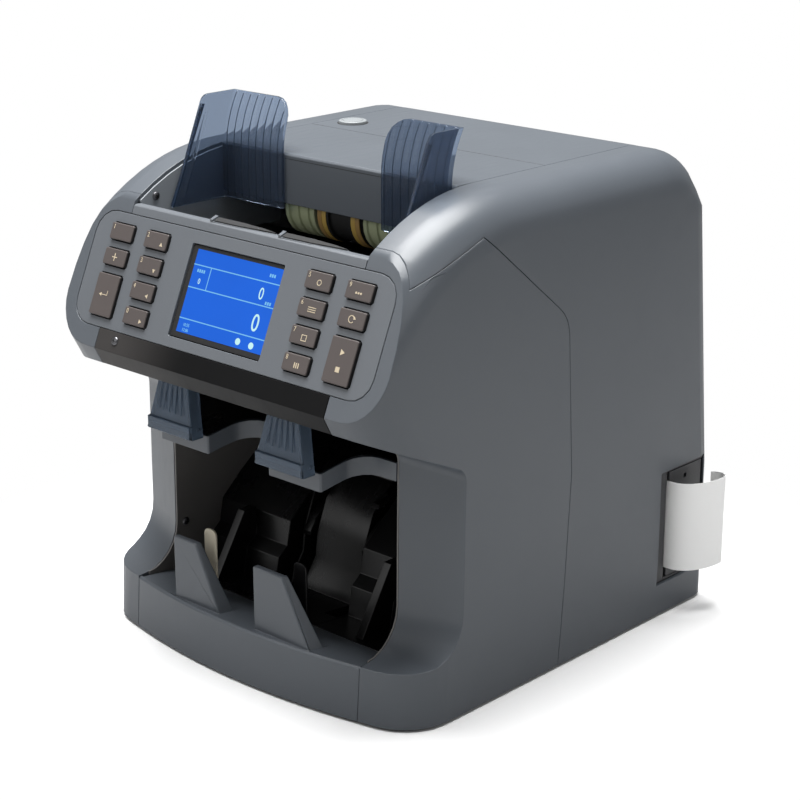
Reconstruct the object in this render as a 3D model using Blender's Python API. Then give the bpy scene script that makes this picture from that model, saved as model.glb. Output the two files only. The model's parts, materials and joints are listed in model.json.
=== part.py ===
"""Banknote sorter: hopper on top, reject pocket and stacker pocket in front, receipt printer at the side.

Metres, +Z up. The origin lies on the ground under the middle of the base, +X is to the right
seen from the front, and the front faces -Y.
"""
import math

import bmesh
import bpy
from mathutils import Matrix, Vector

# Clearances shared by all pieces
GAP = 0.0003
OVERRUN = 0.01
WALL = 0.0026
SHEET = 0.0011

# Body: plan, height and roundings
HALF_WIDTH = 0.131
SEAM_X = 0.094
TOP_Z = 0.293
FOOT_HEIGHT = 0.0015
SIDE_BULGE = 0.0011
BULGE_INSET = 0.035
SHOULDER_RADIUS = 0.025
REAR_CORNER_RADIUS = 0.010
FRONT_FOOT_Y = -0.147
FRONT_LEAN = 0.0022
FRONT_BOW_RADIUS = 0.455
LEDGE_Z = 0.034
REAR_Y = 0.1466
REAR_WAIST_Z = 0.091
REAR_TOP_Y = 0.1315
REAR_TOP_RADIUS = 0.038
REAR_TUCK = 0.001
TOP_ARC_RADIUS = 0.140
TOP_ARC_START_Y = -0.045
TOP_ARC_END_Y = -0.150
NOSE_Y = -0.1766

# Control panel plane: its top edge and its lean, with distances measured down the slope
PANEL_TOP_Y = -0.1264
PANEL_TOP_Z = 0.2657
PANEL_TILT = math.radians(23.4)
CHIN_EDGE = 0.0865
RIDGE_Y = -0.155
RIDGE_Z = 0.1757

# Recess in the front of both side housings
BROW_SLOPE_SHARE = 0.438
COLUMN_Y = -0.103
COLUMN_LEAN = 0.0012
COLUMN_SWEEP = 0.0133
BROW_RADIUS = 0.010
LEDGE_RADIUS = 0.027
LEDGE_RISE = 0.0025
LEDGE_BACK_Z = LEDGE_Z + LEDGE_RISE

# Seam between the front and the rear side housings
SEAM_FOOT_Y = -0.0057
SEAM_BELLY_Y = 0.002
SEAM_BELLY_Z = 0.120
SEAM_KNEE_Y = -0.004
SEAM_KNEE_Z = 0.2155
SEAM_KNEE_RADIUS = 0.022
SEAM_TOP_Y = -0.0749
SEAM_TOP_Z = 0.2733
FOLD_END_Y = -0.1309
FOLD_END_Z = 0.2534
BEZEL_DEPTH = 0.0034

# Keypad plate
PLATE_THICKNESS = 0.003
PLATE_HALF_WIDTH = 0.1204
PLATE_TOP = 0.006
PLATE_BOTTOM = 0.0741
PLATE_RADIUS = 0.0140
WINDOW_HALF_WIDTH = 0.0372
WINDOW_TOP = 0.0136
WINDOW_BOTTOM = 0.0677

# Keys
KEY_WIDTH = 0.0193
KEY_HEIGHT = 0.0102
KEY_PITCH = 0.0151
KEY_ROW_TOP = 0.0126
KEY_RADIUS = 0.0009
KEY_PROUD = 0.0019
KEY_FLANGE = 0.0011
KEY_FLANGE_THICKNESS = 0.0010
KEY_EDGE = 0.0005
KEY_DRAFT = 0.0002
KEY_CLEARANCE = 0.00045
KEY_OUTER_X = 0.0959
KEY_INNER_X = 0.0657
TALL_KEY_HEIGHT = KEY_HEIGHT + KEY_PITCH

# Display
DISPLAY_MARGIN = 0.0022
DISPLAY_DEPTH = 0.0062
DISPLAY_RECESS = 0.0012

# Hopper
HOPPER_BACK_Y = -0.0571
HOPPER_BACK_FOOT_Z = 0.263
LIP_TOP_LAND = 0.0034
LIP_EDGE = 0.0009
LIP_INNER_Y = -0.108
LIP_INNER_Z = 0.2545
SCOOP_HALF_WIDTH = 0.0235
SCOOP_X = 0.0265
SCOOP_RADIUS = 0.040
SCOOP_DEPTH = 0.0034
FLOOR_REAR_Y = -0.024
FLOOR_REAR_Z = 0.2370
FLOOR_BREAK_Y = -0.058
FLOOR_THICKNESS = 0.0024
FLOOR_RIBS = 12
FLOOR_RIB_WIDTH = 0.0016
FLOOR_RIB_HEIGHT = 0.0012
SIDE_PANEL_DROP = 0.0022
SIDE_PANEL_FOOT_Z = 0.236
SIDE_PANEL_REAR_Y = -0.010

# Hopper guides
GUIDE_OUTER_X = 0.0912
GUIDE_INNER_X = 0.0397
GUIDE_THICKNESS = 0.0020
GUIDE_TOP_Z = 0.3235
GUIDE_BACK_GAP = 0.0004
GUIDE_FLARE = 0.0095
GUIDE_FLARE_START_Z = 0.291
GUIDE_FRONT_FOOT_Y = -0.1010
GUIDE_FRONT_TOP_Y = -0.0745
GUIDE_FOOT_Z = 0.2600
GUIDE_FOOT_REAR_Z = 0.2600
GUIDE_CORNER_RADIUS = 0.0130
GUIDE_FRONT_RADIUS = 0.0060
GUIDE_RIBS = 8
GUIDE_RIB_DEPTH = 0.0006
GUIDE_RIB_SHARE = 0.45
GUIDE_BEAD = 0.0012
GUIDE_BEAD_WIDTH = 0.0022
GUIDE_BEAD_INSET = 0.0045
GUIDE_LEVELS = 7

# Feed rollers under the hopper
FEED_Y = -0.035
FEED_Z = 0.2595
FEED_WHEEL_RADIUS = 0.0183
FEED_WHEEL_INNER_X = 0.0198
FEED_WHEEL_WIDTH = 0.0240
FEED_GROOVES = 3
FEED_GROOVE_DEPTH = 0.0011
FEED_GROOVE_SHARE = 0.35
FEED_SHAFT_RADIUS = 0.004
SEPARATOR_RADIUS = 0.0166
SEPARATOR_RING_RADIUS = 0.0183
SEPARATOR_RING_X = 0.0125
SEPARATOR_RING_WIDTH = 0.0088
ROUND_STEPS = 24
SHAFT_STEPS = 12

# Transport roller inside the body
TRANSPORT_Y = 0.045
TRANSPORT_Z = 0.200
TRANSPORT_SHAFT_RADIUS = 0.004
TRANSPORT_TYRE_RADIUS = 0.014
TRANSPORT_TYRE_WIDTH = 0.016
TRANSPORT_TYRE_X = 0.048

# Stacker pocket
POCKET_FRONT_Y = -0.108
POCKET_FLOOR_Z = 0.031
POCKET_FLOOR_DROP = 0.003
POCKET_BACK_Y = -0.026
POCKET_FOOT_Z = 0.022
POCKET_WALL = 0.003
POCKET_TOP_Z = 0.1375
POCKET_SIDE_X = SEAM_X - GAP / 2 - SHEET - GAP
WING_INNER_X = 0.031
WING_STEPS_Y = (-0.080, -0.079, -0.0765, -0.069, -0.066, -0.050)
WING_STEPS_Z = (0.028, 0.033, 0.046, 0.052, 0.067, 0.081)
MIDDLE_STEPS_Y = (-0.066, -0.064, -0.056, -0.054, -0.046)
MIDDLE_STEPS_Z = (0.0268, 0.033, 0.045, 0.060, 0.080)
HOUSING_CREST_Z = 0.099
STACKER_Y = -0.015
STACKER_Z = 0.062
STACKER_RADIUS = 0.043
STACKER_HUB_RADIUS = 0.015
STACKER_SHAFT_RADIUS = 0.004
STACKER_WHEEL_X = 0.025
STACKER_WHEEL_WIDTH = 0.0064
STACKER_SLOT_WIDTH = 0.0100
STACKER_SLOT_MARGIN = 0.003
STACKER_FINGERS = 9
FINGER_SWEEP = math.radians(62)
FINGER_ROOT = math.radians(13)
FINGER_TIP = math.radians(4)
FINGER_POINTS = 5
RAMP_X = 0.062
RAMP_WIDTH = 0.006
RAMP_TOP_Y = -0.078
RAMP_TOP_Z = 0.070
RAMP_FOOT_Y = -0.102

# Front skirt, note stop plate, prongs and blades
SKIRT_THICKNESS = 0.0022
PLATE_DROP = 0.0004
STOP_PLATE_THICKNESS = 0.0026
BOW_STEPS = 10
PRONG_FRONT_Y = -0.1385
PRONG_HEIGHT = 0.0385
PRONG_FOOT_DEPTH = 0.0105
PRONG_TOP_DEPTH = 0.0042
PRONG_ROOT = 0.0012
LEFT_PRONG_X = -0.056
LEFT_PRONG_WIDTH = 0.039
LEFT_PRONG_TOP_WIDTH = 0.0193
RIGHT_PRONG_X = 0.0125
RIGHT_PRONG_WIDTH = 0.0455
RIGHT_PRONG_TOP_WIDTH = 0.0240
BLADE_X = 0.0380
BLADE_Y = -0.1256
BLADE_WIDTH = 0.0100
BLADE_THICKNESS = 0.0014
BLADE_TOP_Z = 0.0775
BLADE_ROUND = 0.0035

# Pocket side liners
LINER_BROW_Y = -0.1490
LINER_REAR_TOP_Z = 0.1760
LINER_TOE_Y = -0.1275
LINER_TOE_RISE = 0.0012
LINER_REAR_Y = -0.020

# Reject pocket: tray with three notches, its trim and its two stops
TRAY_FRONT_Y = -0.1362
TRAY_FRONT_Z = 0.1412
TRAY_RISE_SHARE = 0.13
TRAY_BACK_Y = -0.024
TRAY_THICKNESS = 0.0022
TRAY_HALF_WIDTH = POCKET_SIDE_X
NOTCH_BACK_Y = -0.1035
MIDDLE_NOTCH_HALF_WIDTH = 0.0250
SIDE_NOTCH_X = 0.0665
NOTCH_RADIUS = 0.014
TRIM_THICKNESS = 0.0016
TRIM_DROP = 0.0105
TRIM_TOP = 0.0002
TRAY_RIBS = 10
TRAY_RIB_WIDTH = 0.0018
TRAY_RIB_HEIGHT = 0.0012
STOP_X = 0.04545
STOP_FOOT_HALF_WIDTH = 0.01975
STOP_TOP_HALF_WIDTH = 0.0120
STOP_FOOT_Z = 0.1412
STOP_TOP_Z = 0.1732
STOP_FRONT_Y = -0.1475
STOP_LEAN = 0.0042
STOP_WALL = 0.0018
STOP_DEPTH = 0.0088
STOP_RIBS = 5
STOP_PIVOT_Y = -0.1412
STOP_PIVOT_Z = 0.1458
STOP_PIN_RADIUS = 0.0014
STOP_LUG_WIDTH = 0.0070
STOP_LUG_RADIUS = 0.0034
STOP_BOX_HEIGHT = 0.0078
STOP_BOX_PROUD = 0.0009

# Lower hood liner
HOOD_LINER_THICKNESS = 0.0020
HOOD_LINER_LEAD_Y = -0.141
HOOD_LINER_LEAD_Z = 0.1790
HOOD_LINER_REAR_Y = -0.060
HOOD_LINER_REAR_Z = 0.1860

# Top covers and release button
TOP_SEAM_Y = 0.0187
REAR_COVER_FOOT_Z = 0.070
COVER_EDGE = 0.0012
HINGE_Z = 0.082
HINGE_INSET = 0.0071
HINGE_ARM_RADIUS = 0.0032
HINGE_ARM_WIDTH = 0.0090
HINGE_PIN_RADIUS = 0.0016
BUTTON_X = -0.077
BUTTON_Y = 0.0385
BUTTON_RADIUS = 0.0090
BUTTON_PROUD = 0.0018
BUTTON_FLANGE = 0.0014
BUTTON_EDGE = 0.0007

# Base pan
PAN_THICKNESS = 0.0039
PAN_CLEARANCE = 0.0015
PAN_CORNER_RADIUS = 0.030
PAN_REAR_RADIUS = 0.008
PAN_WALL_TOP_Z = 0.0680
BOARD_POST_RADIUS = 0.0030
BOARD_POST_HEIGHT = 0.0050

# Side frames
FRAME_THICKNESS = 0.0020
FRAME_FRONT_Y = -0.0965
FRAME_REAR_Y = 0.120
FRAME_EAR_Y = 0.1426
FRAME_TOP_Z = 0.2745
FRAME_SHOULDER_Y = -0.064
FRAME_CORNER = 0.012
FRAME_REAR_TOP_Y = 0.092
FRAME_REAR_SHOULDER_Z = 0.235
FRAME_NECK_Z = 0.165
SHAFT_END = 0.0030
RUNNING_GAP = 0.0004

# Printer at the right rear
PRINTER_FRONT_Y = 0.0922
PRINTER_REAR_Y = 0.1384
PRINTER_FOOT_Z = 0.0222
PRINTER_TOP_Z = 0.0958
PRINTER_FACE_X = 0.1294
PRINTER_BACK_X = 0.0988
PRINTER_WALL = 0.0016
PRINTER_STRIP = 0.0088
PAPER_SLOT = 0.0028
DOOR_THICKNESS = 0.0020
DOOR_PIVOT_INSET = 0.0019
DOOR_CLEARANCE = 0.0004
PAPER_WIDTH = 0.0575
PAPER_THICKNESS = 0.00035
ROLL_RADIUS = 0.0120
ROLL_CORE_RADIUS = 0.0055
PAPER_REACH = 0.0205
PAPER_LEAVE_X = 0.1322
PAPER_CURL_Y = 0.1345
PAPER_CURL_RADIUS = 0.0072
PAPER_STEPS = 10
HOLE_SIZE = 0.0026

# Power inlet, rocker switch, motor and main board
INLET_X = 0.058
INLET_Z = 0.034
INLET_WIDTH = 0.027
INLET_HEIGHT = 0.020
INLET_DEPTH = 0.016
INLET_FLANGE = 0.0035
INLET_FLANGE_THICKNESS = 0.0018
INLET_WELL = 0.012
INLET_WALL = 0.0018
INLET_CHAMFER = 0.0050
PIN_SIZE = 0.0020
SWITCH_X = 0.022
SWITCH_WIDTH = 0.013
SWITCH_HEIGHT = 0.019
SWITCH_DEPTH = 0.0070
SWITCH_TILT = math.radians(9)
SWITCH_PROUD = 0.0016
MOTOR_Y = 0.070
MOTOR_Z = 0.052
MOTOR_RADIUS = 0.019
MOTOR_LENGTH = 0.055
MOTOR_BOSS_RADIUS = 0.006
MOTOR_BOSS_LENGTH = 0.006
BOARD_X = -0.015
BOARD_Y = 0.062
BOARD_WIDTH = 0.130
BOARD_DEPTH = 0.110
BOARD_THICKNESS = 0.0016
CHIP_SIZE = 0.012
CHIP_HEIGHT = 0.003
CAN_RADIUS = 0.005
CAN_HEIGHT = 0.012

# Colours, as red, green, blue, then roughness and metallic
BODY_GREY = (0.095, 0.107, 0.122, 0.38, 0.0)
PANEL_GREY = (0.150, 0.162, 0.175, 0.42, 0.0)
DARK_GREY = (0.030, 0.031, 0.033, 0.40, 0.0)
BLACK = (0.010, 0.010, 0.011, 0.28, 0.0)
KEY_BROWN = (0.085, 0.068, 0.062, 0.45, 0.0)
SCREEN_BLUE = (0.0, 0.11, 0.70, 0.25, 0.0)
SMOKE_BLUE = (0.06, 0.11, 0.20, 0.12, 0.0)
RUBBER_GREEN = (0.42, 0.50, 0.36, 0.60, 0.0)
RUBBER_BLACK = (0.020, 0.020, 0.020, 0.70, 0.0)
STEEL = (0.60, 0.60, 0.60, 0.30, 1.0)
BEIGE = (0.62, 0.57, 0.47, 0.45, 0.0)
PAPER_WHITE = (0.84, 0.84, 0.84, 0.80, 0.0)
BUTTON_WHITE = (0.50, 0.52, 0.53, 0.40, 0.0)
BOARD_GREEN = (0.02, 0.15, 0.07, 0.50, 0.0)


def clear_scene():
    for item in list(bpy.data.objects):
        bpy.data.objects.remove(item, do_unlink=True)


def surface(finish, name):
    material = bpy.data.materials.new(name)
    material.use_nodes = True
    shader = material.node_tree.nodes["Principled BSDF"]
    red, green, blue, roughness, metallic = finish
    shader.inputs["Base Color"].default_value = (red, green, blue, 1.0)
    shader.inputs["Roughness"].default_value = roughness
    shader.inputs["Metallic"].default_value = metallic
    return material


def add_object(name, grid, finish=None):
    """One object from a bmesh, with faces pointing outwards"""
    bmesh.ops.remove_doubles(grid, verts=grid.verts, dist=GAP / 100)
    bmesh.ops.recalc_face_normals(grid, faces=grid.faces)
    mesh = bpy.data.meshes.new(name)
    grid.to_mesh(mesh)
    grid.free()
    item = bpy.data.objects.new(name, mesh)
    bpy.context.scene.collection.objects.link(item)
    if finish:
        mesh.materials.append(surface(finish, name))
    return item


def loft(name, rings, finish=None):
    """A closed solid through rings of as many points each, with flat ends"""
    grid = bmesh.new()
    rows = [[grid.verts.new(point) for point in ring] for ring in rings]
    for low, high in zip(rows, rows[1:]):
        for i in range(len(low)):
            j = (i + 1) % len(low)
            grid.faces.new((low[i], low[j], high[j], high[i]))
    grid.faces.new(rows[0])
    grid.faces.new(list(reversed(rows[-1])))
    return add_object(name, grid, finish)


def prism(name, outline, low, high, axis, finish=None):
    """An outline drawn across one axis and extruded along it"""
    place = {
        "X": lambda a, b, c: (c, a, b),
        "Y": lambda a, b, c: (a, c, b),
        "Z": lambda a, b, c: (a, b, c),
    }[axis]
    return loft(name, [[place(a, b, end) for a, b in outline] for end in (low, high)], finish)


def block(name, low, high, finish=None):
    outline = [(low[0], low[1]), (high[0], low[1]), (high[0], high[1]), (low[0], high[1])]
    return prism(name, outline, low[2], high[2], "Z", finish)


def circle(radius, steps, a=0.0, b=0.0, phase=0.0):
    turn = 2 * math.pi / steps
    return [(a + radius * math.cos(phase + turn * k), b + radius * math.sin(phase + turn * k)) for k in range(steps)]


def turned(name, profile, y, z, steps, finish=None, bore=0.0):
    """A round piece along X from pairs of x and radius, with a plain bore where one is given"""
    rings = [[(x, y + a, z + b) for a, b in circle(radius, steps)] for x, radius in profile]
    item = loft(name, rings, finish)
    if bore:
        low, high = profile[0][0] - OVERRUN, profile[-1][0] + OVERRUN
        carve(item, prism("bore", circle(bore, steps, y, z), low, high, "X"))
    return item


def rounded(corners, steps=4):
    """An outline whose corners, each given with a radius, become arcs"""
    points = []
    for i, (a, b, radius) in enumerate(corners):
        here = Vector((a, b))
        if not radius:
            points.append((a, b))
            continue
        back = (Vector(corners[i - 1][:2]) - here).normalized()
        ahead = (Vector(corners[(i + 1) % len(corners)][:2]) - here).normalized()
        half = back.angle(ahead) / 2
        centre = here + (back + ahead).normalized() * (radius / math.sin(half))
        start = here + back * (radius / math.tan(half)) - centre
        turn = math.pi - 2 * half
        if back.cross(ahead) > 0:
            turn = -turn
        for k in range(steps + 1):
            spin = Matrix.Rotation(turn * k / steps, 2)
            points.append(tuple(centre + spin @ start))
    return points


def box_outline(low_a, low_b, high_a, high_b, radius, steps=2):
    corners = [(low_a, low_b, radius), (high_a, low_b, radius), (high_a, high_b, radius), (low_a, high_b, radius)]
    return rounded(corners, steps)


def apply_modifiers(item):
    bpy.context.view_layer.update()
    seen = item.evaluated_get(bpy.context.evaluated_depsgraph_get())
    mesh = bpy.data.meshes.new_from_object(seen)
    old = item.data
    item.modifiers.clear()
    item.data = mesh
    bpy.data.meshes.remove(old)


def carve(item, tool, operation="DIFFERENCE"):
    """Cuts a tool from a piece, or joins or crosses them, and removes the tool"""
    step = item.modifiers.new("step", "BOOLEAN")
    step.operation = operation
    step.object = tool
    apply_modifiers(item)
    bpy.data.objects.remove(tool, do_unlink=True)
    return item


def join(item, other):
    return carve(item, other, "UNION")


def soften(item, width, segments=1, limit=math.radians(40)):
    step = item.modifiers.new("edge", "BEVEL")
    step.width = width
    step.segments = segments
    step.limit_method = "ANGLE"
    step.angle_limit = limit
    step.use_clamp_overlap = True
    apply_modifiers(item)
    return item


def smooth(item, limit=math.radians(35)):
    item.data.shade_smooth()
    item.data.set_sharp_from_angle(angle=limit)
    return item


def mirrored(item, name, finish):
    """A left-hand copy of a right-hand piece"""
    grid = bmesh.new()
    grid.from_mesh(item.data)
    for vert in grid.verts:
        vert.co.x = -vert.co.x
    return add_object(name, grid, finish)


def panel_frame():
    """An empty on the control panel: its Y runs up the slope and its Z stands out from it"""
    frame = bpy.data.objects.new("panel_frame", None)
    bpy.context.scene.collection.objects.link(frame)
    frame.location = (0, PANEL_TOP_Y, PANEL_TOP_Z)
    frame.rotation_euler = (math.pi / 2 - PANEL_TILT, 0, 0)
    return frame


def slope_point(down, out=0.0):
    """The y and z of a point on the panel's slope"""
    y = PANEL_TOP_Y - down * math.sin(PANEL_TILT) - out * math.cos(PANEL_TILT)
    z = PANEL_TOP_Z - down * math.cos(PANEL_TILT) + out * math.sin(PANEL_TILT)
    return y, z


def bow_y(x):
    """How far the bowed front has gone back at a distance from the middle"""
    return FRONT_BOW_RADIUS - math.sqrt(FRONT_BOW_RADIUS**2 - x * x)


def bow_slope(x):
    return x / math.sqrt(FRONT_BOW_RADIUS**2 - x * x)


def top_line(y):
    """Height of the top along the length, where the front rolls down to the panel"""
    ahead = max(0.0, TOP_ARC_START_Y - y)
    return TOP_Z - TOP_ARC_RADIUS + math.sqrt(TOP_ARC_RADIUS**2 - ahead * ahead)


def side_profile(steps):
    """Side view of the body before its recess is cut, from the front foot round to the rear foot"""
    front_foot = FRONT_FOOT_Y + bow_y(SEAM_X)
    chin_y, chin_z = slope_point(CHIN_EDGE)
    rise = (chin_z - RIDGE_Z) / (chin_y - RIDGE_Y)
    spare = OVERRUN + OVERRUN
    lean = FRONT_LEAN / (LEDGE_Z - FOOT_HEIGHT)
    corners = [
        (front_foot, FOOT_HEIGHT, 0),
        (front_foot + lean * (LEDGE_Z + spare - FOOT_HEIGHT), LEDGE_Z + spare, 0),
        (RIDGE_Y - spare / rise, RIDGE_Z - spare, 0),
        (NOSE_Y, RIDGE_Z + rise * (NOSE_Y - RIDGE_Y), 0),
    ]
    reach = TOP_ARC_END_Y - TOP_ARC_START_Y
    for k in range(steps + 1):
        y = TOP_ARC_END_Y - reach * k / steps
        corners.append((y, top_line(y), 0))
    corners.append((REAR_TOP_Y, TOP_Z, REAR_TOP_RADIUS))
    corners.append((REAR_Y, REAR_WAIST_Z, 0))
    corners.append((REAR_Y - REAR_TUCK, FOOT_HEIGHT, 0))
    return rounded(corners, max(3, steps - 2))


def edge_radius(y, z, out):
    """Rounding of the body's outer edge: none at the foot, tight down the rear, wide elsewhere"""
    if out.y < -0.9:
        return 0.0
    if out.x > 0.9 and y > 0:
        share = min(1.0, max(0.0, (z - REAR_WAIST_Z) / (TOP_Z - REAR_WAIST_Z)))
        return REAR_CORNER_RADIUS + (SHOULDER_RADIUS - REAR_CORNER_RADIUS) * share * share
    return SHOULDER_RADIUS


def inset_outline(outline, distances):
    """Moves each edge of an outline inward by its own distance"""
    count = len(outline)
    points = [Vector(point) for point in outline]
    runs = [(points[(i + 1) % count] - points[i]).normalized() for i in range(count)]
    inward = [Vector((run.y, -run.x)) for run in runs]
    moved = []
    for i in range(count):
        before, after = inward[i - 1], inward[i]
        d_before, d_after = distances[i - 1], distances[i]
        cross = before.cross(after)
        if abs(cross) > 0.25:
            shift = Vector((d_before * after.y - d_after * before.y, d_after * before.x - d_before * after.x)) / cross
        else:
            middle = (before + after).normalized()
            shift = middle * ((d_before + d_after) / 2 / middle.dot(before))
        moved.append(points[i] + shift)
    return moved


def body_half(name, steps, wall, stations, foot_drop):
    """Right half of the body's outer form, or of its hollow when a wall is given"""
    outline = side_profile(steps)
    count = len(outline)
    radii = []
    for i in range(count):
        a, b = Vector(outline[i]), Vector(outline[(i + 1) % count])
        run = (b - a).normalized()
        middle = (a + b) / 2
        radii.append(edge_radius(middle.x, middle.y, Vector((-run.y, run.x))))
    width = HALF_WIDTH - wall
    start_x = SEAM_X + GAP / 2 if not wall else SEAM_X - OVERRUN
    rings = []
    for share in stations:
        x = start_x + (width - start_x) * share
        distances = []
        for radius in radii:
            if not radius:
                distances.append(-foot_drop)
                continue
            local = max(radius - wall, wall)
            into = max(0.0, x - (width - local))
            distances.append(wall + local - math.sqrt(max(0.0, local * local - into * into)))
        ring = []
        for point in inset_outline(outline, distances):
            lift = min(1.0, max(0.0, (RIDGE_Z - point.y) / (RIDGE_Z - LEDGE_Z)))
            sweep = lift * bow_slope(SEAM_X) * (x - SEAM_X) if point.x < COLUMN_Y else 0.0
            ring.append((x, point.x + sweep, point.y))
        rings.append(ring)
    flat = rings[-1]
    middle_y = (FRONT_FOOT_Y + REAR_Y) / 2
    middle_z = TOP_Z / 2
    for k in (1, 2):
        inset = BULGE_INSET * k
        ring = []
        for x, y, z in flat:
            dy, dz = middle_y - y, middle_z - z
            reach = math.hypot(dy, dz)
            share = inset / reach
            ring.append((x + SIDE_BULGE * (0.6 if k == 1 else 1.0), y + dy * share, z + dz * share * 0.999))
        rings.append(ring)
    return loft(name, rings)


def recess_outline(x, grow):
    """Recess seen from the side at one distance from the middle, grown outward by a wall if need be"""
    share = (x - SEAM_X) / (HALF_WIDTH - SEAM_X)
    column_y = COLUMN_Y + COLUMN_SWEEP * share + grow
    far_y = NOSE_Y - OVERRUN - OVERRUN
    brow_rise = grow * math.hypot(1, BROW_SLOPE_SHARE)
    brow_z = RIDGE_Z + brow_rise - BROW_SLOPE_SHARE * (column_y - RIDGE_Y)
    far_brow_z = RIDGE_Z + brow_rise - BROW_SLOPE_SHARE * (far_y - RIDGE_Y)
    front = FRONT_FOOT_Y + bow_y(SEAM_X)
    slope = LEDGE_RISE / (COLUMN_Y - front)
    ledge_z = LEDGE_Z - grow + slope * (column_y - front)
    far_ledge_z = LEDGE_Z - grow + slope * (far_y - front)
    corners = [
        (far_y, far_ledge_z, 0),
        (column_y - COLUMN_LEAN, ledge_z, max(LEDGE_RADIUS - grow, GAP)),
        (column_y, brow_z, max(BROW_RADIUS - grow, GAP)),
        (far_y, far_brow_z, 0),
    ]
    return rounded(corners, 6)


def recess_tool(grow):
    ends = (SEAM_X - OVERRUN - OVERRUN, HALF_WIDTH + OVERRUN)
    return loft("recess", [[(x, y, z) for y, z in recess_outline(x, grow)] for x in ends])


def panel_tool(frame, depth):
    """Everything that stands out past the panel's plane, moved back by a depth"""
    tool = block("ahead", (0, -CHIN_EDGE - OVERRUN - OVERRUN, -depth),
                 (HALF_WIDTH + OVERRUN, CHIN_EDGE, CHIN_EDGE))
    tool.parent = frame
    return tool


def plate_outline(grow):
    """The keypad plate on the panel's own X and Y"""
    reach = PLATE_HALF_WIDTH + grow
    return box_outline(-reach, -PLATE_BOTTOM - grow, reach, -PLATE_TOP + grow, PLATE_RADIUS + grow, 4)


def seam_region(grow):
    """Side view of what belongs to the front side housing"""
    slab_y, slab_z = slope_point(0.0, -BEZEL_DEPTH - grow)
    lean = math.tan(PANEL_TILT)
    fold_rise = (SEAM_TOP_Z - FOLD_END_Z) / (SEAM_TOP_Y - FOLD_END_Y)
    back_y = slab_y - lean * (slab_z - FOLD_END_Z)
    back_z = FOLD_END_Z + grow + fold_rise * (back_y - FOLD_END_Y)
    high_z = TOP_Z + OVERRUN
    high_y = slab_y + (high_z - slab_z) * lean
    far_y = NOSE_Y - OVERRUN - OVERRUN
    corners = [
        (far_y, -OVERRUN, 0),
        (SEAM_FOOT_Y + grow, -OVERRUN, 0),
        (SEAM_BELLY_Y + grow, SEAM_BELLY_Z, 0),
        (SEAM_KNEE_Y + grow, SEAM_KNEE_Z, SEAM_KNEE_RADIUS),
        (SEAM_TOP_Y + grow, SEAM_TOP_Z + grow, 0),
        (back_y, back_z, 0),
        (high_y, high_z, 0),
        (far_y, high_z, 0),
    ]
    return rounded(corners, 4)


def side_housings(frame):
    """Front and rear housings of both sides, hollow and open towards the middle"""
    stations = (0.0, 0.32, 0.48, 0.62, 0.74, 0.84, 0.92, 0.97, 1.0)
    shell = body_half("shell", 11, 0.0, stations, 0.0)
    carve(shell, recess_tool(0.0))
    carve(shell, panel_tool(frame, 0.0))
    hollow = body_half("hollow", 7, WALL, (0.0, 0.5, 0.8, 0.93, 1.0), OVERRUN)
    carve(hollow, recess_tool(WALL))
    carve(hollow, panel_tool(frame, WALL))
    carve(shell, hollow)
    opening = prism("plate_opening", plate_outline(GAP), -OVERRUN, OVERRUN, "Z")
    opening.parent = frame
    carve(shell, opening)

    rear = bpy.data.objects.new("rear", shell.data.copy())
    bpy.context.scene.collection.objects.link(rear)
    reach = (SEAM_X - OVERRUN, HALF_WIDTH + OVERRUN)
    carve(shell, prism("front_region", seam_region(0.0), reach[0], reach[1], "X"), "INTERSECT")
    carve(rear, prism("front_region", seam_region(GAP), reach[0], reach[1], "X"))

    left_front = mirrored(shell, "left_front_housing", BODY_GREY)
    left_rear = mirrored(rear, "left_rear_housing", BODY_GREY)
    shell.name = "right_front_housing"
    rear.name = "right_rear_housing"
    for item in (shell, rear):
        item.data.materials.clear()
        item.data.materials.append(surface(BODY_GREY, item.name))
    low = (PRINTER_FACE_X - OVERRUN, PRINTER_FRONT_Y - DOOR_CLEARANCE, PRINTER_FOOT_Z - DOOR_CLEARANCE)
    high = (HALF_WIDTH + OVERRUN, PRINTER_REAR_Y + DOOR_CLEARANCE, PRINTER_TOP_Z + DOOR_CLEARANCE)
    carve(rear, block("printer_opening", low, high))
    for item in (shell, rear, left_front, left_rear):
        smooth(item, math.radians(30))


def front_skirt():
    """Bowed lower front between the two front housings"""
    reach = SEAM_X - GAP / 2
    rings = []
    for k in range(2 * BOW_STEPS + 1):
        x = -reach + reach * k / BOW_STEPS
        y = FRONT_FOOT_Y + bow_y(x)
        back = y + SKIRT_THICKNESS
        top_y = y + FRONT_LEAN
        rings.append([(x, y, FOOT_HEIGHT), (x, top_y, LEDGE_Z - COVER_EDGE), (x, top_y + COVER_EDGE, LEDGE_Z),
                      (x, back + FRONT_LEAN, LEDGE_Z), (x, back, FOOT_HEIGHT)])
    return loft("front_skirt", rings, BODY_GREY)


def prong(x, width, top_width, height):
    """A wedge with one upright flank and one sloping flank, thick at its foot"""
    low = LEDGE_Z - PLATE_DROP - PRONG_ROOT
    high = LEDGE_Z + height
    back = PRONG_FRONT_Y + PRONG_FOOT_DEPTH
    foot = [(x, PRONG_FRONT_Y, low), (x + width, PRONG_FRONT_Y, low), (x + width + COVER_EDGE, back, low), (x, back, low)]
    thin = PRONG_FRONT_Y + PRONG_TOP_DEPTH
    top = [(x, PRONG_FRONT_Y, high), (x + top_width, PRONG_FRONT_Y, high),
           (x + top_width + COVER_EDGE, thin, high), (x, thin, high)]
    wedge = loft("prong", [foot, top])
    return soften(wedge, COVER_EDGE / 2)


def note_plate_front(x):
    return FRONT_FOOT_Y + bow_y(x) + SKIRT_THICKNESS + FRONT_LEAN + GAP


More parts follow.
